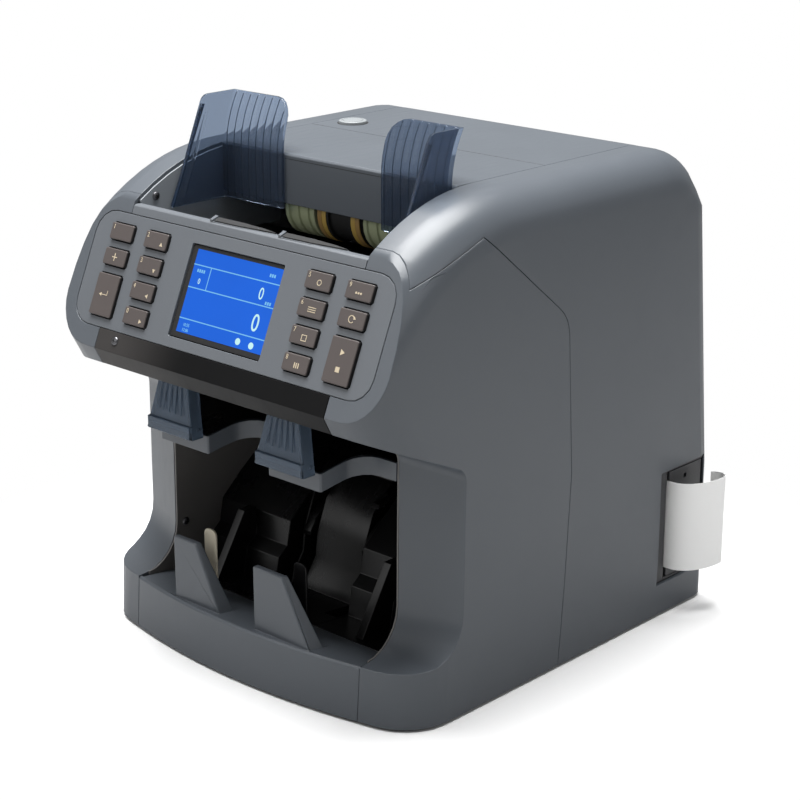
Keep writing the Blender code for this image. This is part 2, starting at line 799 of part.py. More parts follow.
def note_stop_plate():
    """Plate behind the skirt's top edge with the two prongs that hold up the stack"""
    reach = POCKET_SIDE_X
    top = LEDGE_Z - PLATE_DROP
    rings = []
    for k in range(2 * BOW_STEPS + 1):
        x = -reach + reach * k / BOW_STEPS
        front, back = note_plate_front(x), POCKET_FRONT_Y - GAP
        rings.append([(x, front, top - STOP_PLATE_THICKNESS), (x, front, top),
                      (x, back, top - POCKET_FLOOR_DROP + PLATE_DROP),
                      (x, back, top - POCKET_FLOOR_DROP + PLATE_DROP - STOP_PLATE_THICKNESS)])
    plate = loft("note_stop_plate", rings, BODY_GREY)
    join(plate, prong(LEFT_PRONG_X, LEFT_PRONG_WIDTH, LEFT_PRONG_TOP_WIDTH, PRONG_HEIGHT))
    join(plate, prong(RIGHT_PRONG_X, RIGHT_PRONG_WIDTH, RIGHT_PRONG_TOP_WIDTH, PRONG_HEIGHT))
    return plate


def stack_blades():
    """Two upright fingers behind the prongs"""
    front = note_plate_front(BLADE_X)
    share = (BLADE_Y - front) / (POCKET_FRONT_Y - GAP - front)
    foot = LEDGE_Z - PLATE_DROP - (POCKET_FLOOR_DROP - PLATE_DROP) * share + GAP
    for side, x in (("left", -BLADE_X), ("right", BLADE_X)):
        half = BLADE_WIDTH / 2
        corners = [(x - half, foot, 0), (x + half, foot, 0),
                   (x + half, BLADE_TOP_Z, BLADE_ROUND), (x - half, BLADE_TOP_Z, BLADE_ROUND)]
        prism(side + "_stack_blade", rounded(corners, 3), BLADE_Y, BLADE_Y + BLADE_THICKNESS, "Y", BEIGE)


def base_pan():
    """Floor plate that the machine stands on, with board posts and the wall that holds the mains inlet"""
    reach = HALF_WIDTH - WALL - PAN_CLEARANCE
    inner = SEAM_X - GAP / 2
    back = REAR_Y - REAR_TUCK - WALL - PAN_CLEARANCE
    front = FRONT_FOOT_Y + SKIRT_THICKNESS + PAN_CLEARANCE
    outline = []
    for k in range(-BOW_STEPS, BOW_STEPS + 1):
        x = inner * k / BOW_STEPS
        outline.append((x, front + bow_y(x), 0))
    side_y = front + bow_y(inner) + bow_slope(inner) * (reach - inner)
    corners = [(-reach, side_y, PAN_CORNER_RADIUS)] + outline + [
        (reach, side_y, PAN_CORNER_RADIUS), (reach, back, PAN_REAR_RADIUS), (-reach, back, PAN_REAR_RADIUS)]
    pan = prism("base_pan", rounded(corners, 4), 0.0, PAN_THICKNESS, "Z", BODY_GREY)

    wall_y = REAR_Y - REAR_TUCK
    low = FOOT_HEIGHT
    wall = block("rear_wall", (-inner, wall_y - WALL, low), (inner, wall_y, PAN_WALL_TOP_Z))
    ledge = block("rear_ledge", (-inner, back - OVERRUN, low), (inner, wall_y, PAN_THICKNESS))
    join(wall, ledge)
    join(pan, wall)
    for x in (-1, 1):
        for y in (-1, 1):
            post_x = BOARD_X + x * (BOARD_WIDTH / 2 - BOARD_POST_RADIUS - BOARD_POST_RADIUS)
            post_y = BOARD_Y + y * (BOARD_DEPTH / 2 - BOARD_POST_RADIUS - BOARD_POST_RADIUS)
            ring = circle(BOARD_POST_RADIUS, 8, post_x, post_y)
            join(pan, prism("post", ring, low, PAN_THICKNESS + BOARD_POST_HEIGHT, "Z"))
    half = INLET_WIDTH / 2 + GAP
    tall = INLET_HEIGHT / 2 + GAP
    cut = prism("inlet_hole", inlet_outline(half, tall), wall_y - OVERRUN, wall_y + OVERRUN, "Y")
    carve(pan, cut)
    half = SWITCH_WIDTH / 2 + GAP + GAP
    tall = SWITCH_HEIGHT / 2 + GAP + GAP
    carve(pan, block("switch_hole", (SWITCH_X - half, wall_y - OVERRUN, INLET_Z - tall),
                     (SWITCH_X + half, wall_y + OVERRUN, INLET_Z + tall)))
    return pan


def inlet_outline(half, tall):
    """Mains inlet seen from behind: a rectangle with two cut corners at the top"""
    x, z = INLET_X, INLET_Z
    return [(x - half, z - tall), (x + half, z - tall), (x + half, z + tall - INLET_CHAMFER),
            (x + half - INLET_CHAMFER, z + tall), (x - half + INLET_CHAMFER, z + tall),
            (x - half, z + tall - INLET_CHAMFER)]


def power_inlet():
    wall_y = REAR_Y - REAR_TUCK
    face = wall_y + GAP + INLET_FLANGE_THICKNESS
    body = prism("power_inlet", inlet_outline(INLET_WIDTH / 2, INLET_HEIGHT / 2), face - INLET_DEPTH, face, "Y", BLACK)
    half = INLET_WIDTH / 2 + INLET_FLANGE
    tall = INLET_HEIGHT / 2 + INLET_FLANGE
    flange = box_outline(INLET_X - half, INLET_Z - tall, INLET_X + half, INLET_Z + tall, COVER_EDGE)
    join(body, prism("flange", flange, wall_y + GAP, face, "Y"))
    half = INLET_WIDTH / 2 - INLET_WALL
    tall = INLET_HEIGHT / 2 - INLET_WALL
    carve(body, prism("well", inlet_outline(half, tall), face - INLET_WELL, face + OVERRUN, "Y"))
    floor = face - INLET_WELL - GAP
    for k in (-1, 0, 1):
        x = INLET_X + k * INLET_WIDTH / 4
        z = INLET_Z + (PIN_SIZE if k == 0 else 0.0)
        low = (x - PIN_SIZE / 2, floor, z - PIN_SIZE)
        join(body, block("contact", low, (x + PIN_SIZE / 2, face - PIN_SIZE, z + PIN_SIZE)))
    return body


def power_switch():
    """Rocker on a cross axis through its middle, resting tipped to one side"""
    wall_y = REAR_Y - REAR_TUCK
    half = SWITCH_HEIGHT / 2
    rise = half * math.tan(SWITCH_TILT)
    outline = [(-SWITCH_DEPTH / 2, -half + rise), (SWITCH_PROUD, -half), (SWITCH_PROUD + rise, -half),
               (SWITCH_PROUD - rise / 2, 0), (SWITCH_PROUD + rise, half), (SWITCH_PROUD, half),
               (-SWITCH_DEPTH / 2, half - rise)]
    rocker = prism("power_switch", outline, -SWITCH_WIDTH / 2, SWITCH_WIDTH / 2, "X", BLACK)
    rocker.location = (SWITCH_X, wall_y - SWITCH_DEPTH / 4, INLET_Z)
    rocker.rotation_euler = (SWITCH_TILT, 0, 0)
    return rocker


def keypad_plate(frame):
    plate = prism("keypad_plate", plate_outline(0.0), -PLATE_THICKNESS, 0.0, "Z", PANEL_GREY)
    soften(plate, LIP_EDGE / 3)
    window = box_outline(-WINDOW_HALF_WIDTH, -WINDOW_BOTTOM, WINDOW_HALF_WIDTH, -WINDOW_TOP, KEY_RADIUS)
    carve(plate, prism("window", window, -OVERRUN, OVERRUN, "Z"))
    for name, x, top, height in key_places():
        half = KEY_WIDTH / 2 + KEY_CLEARANCE
        low, high = -top - height - KEY_CLEARANCE, -top + KEY_CLEARANCE
        hole = box_outline(x - half, low, x + half, high, KEY_RADIUS + KEY_CLEARANCE, 1)
        carve(plate, prism("hole", hole, -OVERRUN, OVERRUN, "Z"))
    plate.parent = frame
    return plate


def key_places():
    """Name, x, distance down the slope and height of each key"""
    rows = [KEY_ROW_TOP + KEY_PITCH * k for k in range(4)]
    places = [("key_1", -KEY_OUTER_X, rows[0], KEY_HEIGHT), ("key_add", -KEY_OUTER_X, rows[1], KEY_HEIGHT),
              ("key_set", -KEY_OUTER_X, rows[2], TALL_KEY_HEIGHT),
              ("key_9", KEY_OUTER_X, rows[0], KEY_HEIGHT), ("key_auto", KEY_OUTER_X, rows[1], KEY_HEIGHT),
              ("key_start", KEY_OUTER_X, rows[2], TALL_KEY_HEIGHT)]
    for label, row in zip(("2", "3", "4", "0"), rows):
        places.append(("key_" + label, -KEY_INNER_X, row, KEY_HEIGHT))
    for label, row in zip(("5", "6", "7", "8"), rows):
        places.append(("key_" + label, KEY_INNER_X, row, KEY_HEIGHT))
    return places


def keys(frame):
    """Key caps with a flange behind the plate, each with its origin on the panel's plane"""
    for name, x, top, height in key_places():
        flange_low = -PLATE_THICKNESS - GAP - KEY_FLANGE_THICKNESS
        levels = [
            (flange_low, KEY_FLANGE), (-PLATE_THICKNESS - GAP, KEY_FLANGE), (-PLATE_THICKNESS - GAP, 0.0),
            (KEY_PROUD - KEY_EDGE, -KEY_DRAFT), (KEY_PROUD, -KEY_DRAFT - KEY_EDGE),
        ]
        rings = []
        for z, grow in levels:
            half_x, half_y = KEY_WIDTH / 2 + grow, height / 2 + grow
            ring = box_outline(-half_x, -half_y, half_x, half_y, KEY_RADIUS, 1)
            rings.append([(a, b, z) for a, b in ring])
        cap = loft(name, rings, KEY_BROWN)
        cap.parent = frame
        cap.location = (x, -top - height / 2, 0)


def display_module(frame):
    half = WINDOW_HALF_WIDTH + DISPLAY_MARGIN
    low, high = -WINDOW_BOTTOM - DISPLAY_MARGIN, -WINDOW_TOP + DISPLAY_MARGIN
    behind = -PLATE_THICKNESS - GAP
    module = prism("display_module", box_outline(-half, low, half, high, KEY_RADIUS), behind - DISPLAY_DEPTH,
                   behind, "Z", SCREEN_BLUE)
    inner = WINDOW_HALF_WIDTH - GAP - GAP
    face = box_outline(-inner, -WINDOW_BOTTOM + GAP + GAP, inner, -WINDOW_TOP - GAP - GAP, KEY_RADIUS)
    join(module, prism("glass", face, behind - GAP, -DISPLAY_RECESS, "Z"))
    module.parent = frame
    return module


def hopper_lip():
    """Front edge of the hopper with two finger scoops on its inner slope"""
    reach = SEAM_X - GAP / 2
    lower = slope_point(PLATE_TOP - GAP)
    edge = slope_point(LIP_EDGE)
    back_low = slope_point(PLATE_TOP - GAP, -PLATE_THICKNESS)
    crest_y = PANEL_TOP_Y + LIP_EDGE
    land_y = crest_y + LIP_TOP_LAND
    outline = [lower, back_low, (LIP_INNER_Y, LIP_INNER_Z - FLOOR_THICKNESS), (LIP_INNER_Y, LIP_INNER_Z),
               (land_y, PANEL_TOP_Z), (crest_y, PANEL_TOP_Z), edge]
    lip = prism("hopper_lip", outline, -reach, reach, "X", PANEL_GREY)
    for x in (-SCOOP_X, SCOOP_X):
        slide = SCOOP_RADIUS - SCOOP_DEPTH
        ring = []
        for k in range(9):
            across = -SCOOP_HALF_WIDTH + SCOOP_HALF_WIDTH * k / 4
            ring.append((x + across, land_y + SCOOP_DEPTH * (across / SCOOP_HALF_WIDTH) ** 2))
        ring += [(x + SCOOP_HALF_WIDTH, LIP_INNER_Y + OVERRUN), (x - SCOOP_HALF_WIDTH, LIP_INNER_Y + OVERRUN)]
        floor_z = LIP_INNER_Z + (PANEL_TOP_Z - LIP_INNER_Z) / 3
        tool = prism("scoop", ring, floor_z, PANEL_TOP_Z + slide, "Z")
        carve(lip, tool)
    return lip


def floor_height(y):
    """Top of the hopper floor, which falls towards the feed rollers"""
    share = (y - LIP_INNER_Y) / (FLOOR_BREAK_Y - LIP_INNER_Y)
    return LIP_INNER_Z + (FLOOR_REAR_Z - LIP_INNER_Z) * min(1.0, share)


def hopper_floor():
    """Ribbed black floor under the notes"""
    start = LIP_INNER_Y + GAP
    drop = FLOOR_THICKNESS
    outline = [(start, floor_height(start)), (FLOOR_BREAK_Y, FLOOR_REAR_Z), (FLOOR_REAR_Y, FLOOR_REAR_Z),
               (FLOOR_REAR_Y, FLOOR_REAR_Z - drop), (FLOOR_BREAK_Y, FLOOR_REAR_Z - drop), (start, floor_height(start) - drop)]
    floor = prism("hopper_floor", outline, -POCKET_SIDE_X, POCKET_SIDE_X, "X", BLACK)
    pitch = 2 * POCKET_SIDE_X / (FLOOR_RIBS + 1)
    lift = FLOOR_RIB_HEIGHT
    for k in range(FLOOR_RIBS):
        x = -POCKET_SIDE_X + pitch * (k + 1)
        rib = [(start, floor_height(start) - GAP), (start, floor_height(start) + lift),
               (FLOOR_BREAK_Y, FLOOR_REAR_Z + lift), (FLOOR_BREAK_Y, FLOOR_REAR_Z - GAP)]
        join(floor, prism("rib", rib, x - FLOOR_RIB_WIDTH / 2, x + FLOOR_RIB_WIDTH / 2, "X"))
    return floor


def hopper_sides():
    """Flat side walls of the hopper, a little lower than the housings beside them"""
    outline = [(LIP_INNER_Y, SIDE_PANEL_FOOT_Z), (SIDE_PANEL_REAR_Y, SIDE_PANEL_FOOT_Z)]
    rear_top = TOP_Z - WALL - GAP - GAP
    outline.append((SIDE_PANEL_REAR_Y, rear_top))
    outline.append((HOPPER_BACK_Y + WALL + GAP, rear_top))
    outline.append((HOPPER_BACK_Y + WALL + GAP, HOPPER_BACK_FOOT_Z - GAP - GAP))
    outline.append((HOPPER_BACK_Y - GAP - GAP, HOPPER_BACK_FOOT_Z - GAP - GAP))
    front = PANEL_TOP_Y + LIP_EDGE + LIP_TOP_LAND + GAP
    for k in range(7):
        y = HOPPER_BACK_Y - GAP - GAP + (front - HOPPER_BACK_Y) * k / 6
        outline.append((y, top_line(y) - SIDE_PANEL_DROP))
    drop_share = (front - LIP_INNER_Y) / (PANEL_TOP_Y + LIP_EDGE + LIP_TOP_LAND - LIP_INNER_Y)
    outline.append((outline[-1][0], LIP_INNER_Z + (PANEL_TOP_Z - LIP_INNER_Z) * drop_share + GAP + GAP))
    outline.append((LIP_INNER_Y, LIP_INNER_Z + GAP + GAP))
    right = prism("right_hopper_side", outline, SEAM_X - GAP / 2 - SHEET, SEAM_X - GAP / 2, "X", BODY_GREY)
    ring = circle(FEED_SHAFT_RADIUS + RUNNING_GAP, SHAFT_STEPS, FEED_Y, FEED_Z)
    carve(right, prism("hole", ring, SEAM_X - OVERRUN, SEAM_X + OVERRUN, "X"))
    mirrored(right, "left_hopper_side", BODY_GREY)


def guide_lean(z):
    """How far the guide's back plate has curved to the rear at a height"""
    share = max(0.0, (z - GUIDE_FLARE_START_Z) / (GUIDE_TOP_Z - GUIDE_FLARE_START_Z))
    return GUIDE_FLARE * share * share


def hopper_guides():
    """Transparent corner guides: a ribbed back plate that flares to the rear and a side plate with a bead"""
    back_y = HOPPER_BACK_Y - GUIDE_BACK_GAP
    levels = [GUIDE_FOOT_Z, GUIDE_FLARE_START_Z]
    for k in range(1, GUIDE_LEVELS):
        levels.append(GUIDE_FLARE_START_Z + (GUIDE_TOP_Z - GUIDE_FLARE_START_Z) * k / (GUIDE_LEVELS - 1))
    rings = []
    pitch = (GUIDE_OUTER_X - GUIDE_THICKNESS - GUIDE_INNER_X) / GUIDE_RIBS
    for z in levels:
        lean = guide_lean(z)
        ring = [(GUIDE_INNER_X, back_y + lean, z)]
        ring.append((GUIDE_OUTER_X, back_y + lean, z))
        front = back_y - GUIDE_THICKNESS + lean
        ring.append((GUIDE_OUTER_X, front, z))
        for k in range(GUIDE_RIBS):
            high = GUIDE_OUTER_X - GUIDE_THICKNESS - pitch * k
            ring.append((high - pitch * (1 - GUIDE_RIB_SHARE) / 2, front, z))
            ring.append((high - pitch / 2, front - GUIDE_RIB_DEPTH, z))
            ring.append((high - pitch * (1 + GUIDE_RIB_SHARE) / 2, front, z))
        ring.append((GUIDE_INNER_X, front, z))
        rings.append(ring)
    right = loft("right_hopper_guide", rings, SMOKE_BLUE)
    corner = [(GUIDE_INNER_X, GUIDE_FOOT_Z - OVERRUN, 0),
              (GUIDE_OUTER_X + OVERRUN, GUIDE_FOOT_Z - OVERRUN, 0),
              (GUIDE_OUTER_X + OVERRUN, GUIDE_TOP_Z, 0), (GUIDE_INNER_X, GUIDE_TOP_Z, GUIDE_CORNER_RADIUS)]
    keep = prism("corner", rounded(corner, 5), back_y - OVERRUN, back_y + OVERRUN + GUIDE_FLARE, "Y")
    carve(right, keep, "INTERSECT")

    face = back_y - GUIDE_THICKNESS / 2
    outline = [(face, GUIDE_FOOT_REAR_Z, 0), (GUIDE_FRONT_FOOT_Y, GUIDE_FOOT_Z, 0),
               (GUIDE_FRONT_TOP_Y, GUIDE_TOP_Z, GUIDE_FRONT_RADIUS)]
    for z in reversed(levels[1:]):
        outline.append((face + guide_lean(z), z, 0))
    side = prism("side", rounded(outline, 3), GUIDE_OUTER_X - GUIDE_THICKNESS, GUIDE_OUTER_X, "X")
    join(right, side)
    lean = (GUIDE_FRONT_TOP_Y - GUIDE_FRONT_FOOT_Y) / (GUIDE_TOP_Z - GUIDE_FOOT_Z)
    low, high = GUIDE_FOOT_Z + GUIDE_BEAD_INSET, GUIDE_TOP_Z - GUIDE_FRONT_RADIUS - GUIDE_BEAD_INSET
    start = GUIDE_FRONT_FOOT_Y + GUIDE_BEAD_INSET
    bead = [(start + lean * (low - GUIDE_FOOT_Z), low), (start + GUIDE_BEAD_WIDTH + lean * (low - GUIDE_FOOT_Z), low),
            (start + GUIDE_BEAD_WIDTH + lean * (high - GUIDE_FOOT_Z), high), (start + lean * (high - GUIDE_FOOT_Z), high)]
    inner = GUIDE_OUTER_X - GUIDE_THICKNESS
    join(right, prism("bead", bead, inner - GUIDE_BEAD, inner + GUIDE_THICKNESS / 2, "X"))
    mirrored(right, "left_hopper_guide", SMOKE_BLUE)


def hopper_cover():
    """Top plate in front of the cross seam with the hopper's back wall hanging from it"""
    reach = SEAM_X - GAP / 2
    edge = COVER_EDGE
    outline = [(HOPPER_BACK_Y, HOPPER_BACK_FOOT_Z), (HOPPER_BACK_Y + WALL, HOPPER_BACK_FOOT_Z),
               (HOPPER_BACK_Y + WALL, TOP_Z - WALL), (TOP_SEAM_Y, TOP_Z - WALL), (TOP_SEAM_Y, TOP_Z),
               (HOPPER_BACK_Y + edge, TOP_Z), (HOPPER_BACK_Y, TOP_Z - edge)]
    return prism("hopper_cover", outline, -reach, reach, "X", BODY_GREY)


def hinge_place():
    """Axis of the rear cover, inside its rear wall"""
    return REAR_Y - HINGE_INSET, HINGE_Z


def rear_cover():
    """Top plate behind the cross seam that wraps over the rear and carries the hinge arms and pins"""
    reach = SEAM_X - GAP / 2
    start = TOP_SEAM_Y + GAP
    outer = rounded([(start, TOP_Z, 0), (REAR_TOP_Y, TOP_Z, REAR_TOP_RADIUS),
                     (REAR_Y, REAR_WAIST_Z, 0), (REAR_Y, REAR_COVER_FOOT_Z, 0)], 7)
    inner = rounded([(start, TOP_Z - WALL, 0), (REAR_TOP_Y - WALL, TOP_Z - WALL, REAR_TOP_RADIUS - WALL),
                     (REAR_Y - WALL, REAR_WAIST_Z, 0), (REAR_Y - WALL, REAR_COVER_FOOT_Z, 0)], 7)
    # The profile is an open strip, so the straight line that closes each outline is left out
    cover = prism("rear_cover", outer + list(reversed(inner)), -reach, reach, "X", BODY_GREY)
    y, z = hinge_place()
    radius = HINGE_ARM_RADIUS
    wall = REAR_Y - WALL / 2
    arm = [(wall, z + radius), (wall, z - radius)]
    for k in range(7):
        angle = -math.pi / 2 - math.pi * k / 6
        arm.append((y + radius * math.cos(angle), z + radius * math.sin(angle)))
    for side in (-1, 1):
        inner, outer = side * (reach - HINGE_ARM_WIDTH), side * reach
        join(cover, prism("arm", arm, min(inner, outer), max(inner, outer), "X"))
        tip = side * (SEAM_X + GAP + FRAME_THICKNESS + RUNNING_GAP)
        pin = circle(HINGE_PIN_RADIUS, SHAFT_STEPS, y, z)
        join(cover, prism("pin", pin, min(inner, tip) + GAP, max(inner, tip) - GAP, "X"))
    hole = prism("button_hole", circle(BUTTON_RADIUS + GAP, ROUND_STEPS, BUTTON_X, BUTTON_Y),
                 TOP_Z - OVERRUN, TOP_Z + OVERRUN, "Z")
    carve(cover, hole)
    return cover


def release_button():
    """Round button on the rear cover, with a flange below the plate"""
    levels = [(-WALL - GAP - BUTTON_FLANGE, BUTTON_RADIUS + BUTTON_FLANGE), (-WALL - GAP, BUTTON_RADIUS + BUTTON_FLANGE),
              (-WALL - GAP, BUTTON_RADIUS), (BUTTON_PROUD - BUTTON_EDGE, BUTTON_RADIUS),
              (BUTTON_PROUD, BUTTON_RADIUS - BUTTON_EDGE)]
    rings = [[(a, b, z) for a, b in circle(radius, ROUND_STEPS)] for z, radius in levels]
    button = loft("cover_release_button", rings, BUTTON_WHITE)
    button.location = (BUTTON_X, BUTTON_Y, TOP_Z)
    return smooth(button)


def feed_rollers():
    """Shaft under the hopper with two grooved wheels and the ringed separator barrel between them"""
    end = SEAM_X + FRAME_THICKNESS + SHAFT_END
    shaft = turned("feed_shaft", [(-end, FEED_SHAFT_RADIUS), (end, FEED_SHAFT_RADIUS)], FEED_Y, FEED_Z, SHAFT_STEPS, STEEL)
    smooth(shaft)
    bore = FEED_SHAFT_RADIUS + GAP
    pitch = FEED_WHEEL_WIDTH / FEED_GROOVES
    for side, start in (("left", -FEED_WHEEL_INNER_X - FEED_WHEEL_WIDTH), ("right", FEED_WHEEL_INNER_X)):
        profile = [(start, FEED_WHEEL_RADIUS)]
        for k in range(FEED_GROOVES):
            middle = start + pitch * (k + 1 / 2)
            half = pitch * FEED_GROOVE_SHARE / 2
            low = FEED_WHEEL_RADIUS - FEED_GROOVE_DEPTH
            profile += [(middle - half, FEED_WHEEL_RADIUS), (middle - half / 2, low),
                        (middle + half / 2, low), (middle + half, FEED_WHEEL_RADIUS)]
        profile.append((start + FEED_WHEEL_WIDTH, FEED_WHEEL_RADIUS))
        smooth(turned(side + "_feed_wheel", profile, FEED_Y, FEED_Z, ROUND_STEPS, RUBBER_GREEN, bore))
    reach = FEED_WHEEL_INNER_X - GAP
    profile = [(-reach, SEPARATOR_RADIUS)]
    for x in (-SEPARATOR_RING_X, SEPARATOR_RING_X):
        half = SEPARATOR_RING_WIDTH / 2
        profile += [(x - half, SEPARATOR_RADIUS), (x - half + GAP, SEPARATOR_RING_RADIUS),
                    (x + half - GAP, SEPARATOR_RING_RADIUS), (x + half, SEPARATOR_RADIUS)]
    profile.append((reach, SEPARATOR_RADIUS))
    smooth(turned("separator_roller", profile, FEED_Y, FEED_Z, ROUND_STEPS, RUBBER_BLACK, bore))


def transport_roller():
    end = SEAM_X + FRAME_THICKNESS + SHAFT_END
    thin, wide = TRANSPORT_SHAFT_RADIUS, TRANSPORT_TYRE_RADIUS
    profile = [(-end, thin)]
    for x in (-TRANSPORT_TYRE_X, 0.0, TRANSPORT_TYRE_X):
        half = TRANSPORT_TYRE_WIDTH / 2
        profile += [(x - half, thin), (x - half, wide), (x + half, wide), (x + half, thin)]
    profile.append((end, thin))
    return smooth(turned("transport_roller", profile, TRANSPORT_Y, TRANSPORT_Z, SHAFT_STEPS, RUBBER_BLACK))


def housing_outline(steps_y, steps_z):
    """Side view of the black pocket back: floor, stepped front and crest"""
    outline = [(POCKET_FRONT_Y, POCKET_FOOT_Z), (POCKET_FRONT_Y, POCKET_FLOOR_Z)]
    outline += list(zip(steps_y, steps_z))
    outline.append((POCKET_BACK_Y, HOUSING_CREST_Z))
    outline.append((POCKET_BACK_Y, POCKET_FOOT_Z))
    return outline


def stacker_housing():
    """Black back and floor of the stacker pocket, with slots for the stacker wheels"""
    reach = POCKET_SIDE_X
    wing = housing_outline(WING_STEPS_Y, WING_STEPS_Z)
    middle = housing_outline(MIDDLE_STEPS_Y, MIDDLE_STEPS_Z)
    body = prism("stacker_housing", wing, -reach, -WING_INNER_X, "X", BLACK)
    join(body, prism("middle", middle, -WING_INNER_X - GAP, WING_INNER_X + GAP, "X"))
    join(body, prism("wing", wing, WING_INNER_X, reach, "X"))
    wall = block("wall", (-reach, POCKET_BACK_Y - POCKET_WALL, POCKET_FOOT_Z + GAP), (reach, POCKET_BACK_Y, POCKET_TOP_Z))
    join(body, wall)
    for side in (-1, 1):
        ramp = [(RAMP_FOOT_Y, POCKET_FLOOR_Z - POCKET_FLOOR_DROP), (RAMP_FOOT_Y, POCKET_FLOOR_Z),
                (RAMP_TOP_Y, RAMP_TOP_Z), (RAMP_TOP_Y + OVERRUN, RAMP_TOP_Z),
                (RAMP_TOP_Y + OVERRUN, POCKET_FLOOR_Z - POCKET_FLOOR_DROP)]
        x = side * RAMP_X
        join(body, prism("ramp", ramp, x - RAMP_WIDTH / 2, x + RAMP_WIDTH / 2, "X"))
        x = side * STACKER_WHEEL_X
        low = (x - STACKER_SLOT_WIDTH / 2, POCKET_FRONT_Y + OVERRUN + OVERRUN, POCKET_FOOT_Z - OVERRUN)
        high_z = STACKER_Z + STACKER_RADIUS + STACKER_SLOT_MARGIN
        carve(body, block("slot", low, (x + STACKER_SLOT_WIDTH / 2, POCKET_BACK_Y + OVERRUN, high_z)))
    return body


def stacker_outline():
    """Wheel with swept fingers, drawn around its own centre"""
    points = []
    turn = 2 * math.pi / STACKER_FINGERS
    for finger in range(STACKER_FINGERS):
        start = turn * finger
        for k in range(FINGER_POINTS + 1):
            share = k / FINGER_POINTS
            radius = STACKER_HUB_RADIUS + (STACKER_RADIUS - STACKER_HUB_RADIUS) * share
            angle = start + FINGER_SWEEP * share
            points.append((radius * math.cos(angle), radius * math.sin(angle)))
        for k in range(FINGER_POINTS, -1, -1):
            share = k / FINGER_POINTS
            radius = STACKER_HUB_RADIUS + (STACKER_RADIUS - STACKER_HUB_RADIUS) * share
            thick = FINGER_ROOT + (FINGER_TIP - FINGER_ROOT) * share
            angle = start + thick + FINGER_SWEEP * share
            points.append((radius * math.cos(angle), radius * math.sin(angle)))
    return points


def stacker_wheels():
    end = SEAM_X + FRAME_THICKNESS + SHAFT_END
    radius = STACKER_SHAFT_RADIUS
    shaft = turned("stacker_shaft", [(-end, radius), (end, radius)], STACKER_Y, STACKER_Z, SHAFT_STEPS, STEEL)
    smooth(shaft)
    outline = [(STACKER_Y + a, STACKER_Z + b) for a, b in stacker_outline()]
    for side, x in (("left", -STACKER_WHEEL_X), ("right", STACKER_WHEEL_X)):
        half = STACKER_WHEEL_WIDTH / 2
        wheel = prism(side + "_stacker_wheel", outline, x - half, x + half, "X", BLACK)
        ring = circle(radius + GAP, SHAFT_STEPS, STACKER_Y, STACKER_Z)
        carve(wheel, prism("bore", ring, x - OVERRUN, x + OVERRUN, "X"))


def roof_height(y):
    """Underside of the hood liner over the reject pocket"""
    if y < HOOD_LINER_LEAD_Y:
        return RIDGE_Z + (HOOD_LINER_LEAD_Z - RIDGE_Z) * (y - RIDGE_Y) / (HOOD_LINER_LEAD_Y - RIDGE_Y)
    share = (y - HOOD_LINER_LEAD_Y) / (HOOD_LINER_REAR_Y - HOOD_LINER_LEAD_Y)
    return HOOD_LINER_LEAD_Z + (HOOD_LINER_REAR_Z - HOOD_LINER_LEAD_Z) * share


def pocket_liners():
    """Dark side walls of both pockets, following the recess from the roof down to the ledge"""
    outline = [(LINER_TOE_Y, LEDGE_Z + LINER_TOE_RISE)]
    outline += [(y + GAP, z) for y, z in recess_outline(SEAM_X, 0.0) if y > LINER_TOE_Y]
    brow_z = RIDGE_Z - BROW_SLOPE_SHARE * (LINER_BROW_Y - RIDGE_Y)
    outline.append((LINER_BROW_Y, brow_z + GAP))
    for y in (LINER_BROW_Y, HOOD_LINER_LEAD_Y, HOOD_LINER_REAR_Y):
        outline.append((y, roof_height(y) - GAP))
    outline.append((HOOD_LINER_REAR_Y, LINER_REAR_TOP_Z))
    outline.append((LINER_REAR_Y, LINER_REAR_TOP_Z))
    outline.append((LINER_REAR_Y, POCKET_FOOT_Z))
    outline.append((POCKET_FRONT_Y, POCKET_FOOT_Z))
    outline.append((LINER_TOE_Y, LEDGE_Z - LINER_TOE_RISE))
    right = prism("right_pocket_liner", outline, SEAM_X - GAP / 2 - SHEET, SEAM_X - GAP / 2, "X", DARK_GREY)
    mirrored(right, "left_pocket_liner", DARK_GREY)


def tray_height(y):
    return TRAY_FRONT_Z + TRAY_RISE_SHARE * (y - TRAY_FRONT_Y)


def tray_front(inset):
    """Front edge of the reject tray seen from above, from the left wall to the right wall"""
    reach = TRAY_HALF_WIDTH
    front, back = TRAY_FRONT_Y + inset, NOTCH_BACK_Y + inset
    middle = MIDDLE_NOTCH_HALF_WIDTH + inset
    side = SIDE_NOTCH_X - inset
    corners = [(-reach, back, 0), (-side, back, NOTCH_RADIUS - inset), (-side, front, COVER_EDGE),
               (-middle, front, COVER_EDGE), (-middle, back, NOTCH_RADIUS - inset),
               (middle, back, NOTCH_RADIUS - inset), (middle, front, COVER_EDGE),
               (side, front, COVER_EDGE), (side, back, NOTCH_RADIUS - inset), (reach, back, 0)]
    padded = [(-reach, TRAY_BACK_Y, 0)] + corners + [(reach, TRAY_BACK_Y, 0)]
    return rounded(padded, 4)


def tray_slab(name, outline, low, high, finish=None):
    """A plan outline given the tray's slope, between two distances from its top"""
    rings = [[(x, y, tray_height(y) + offset) for x, y in outline] for offset in (low, high)]
    return loft(name, rings, finish)


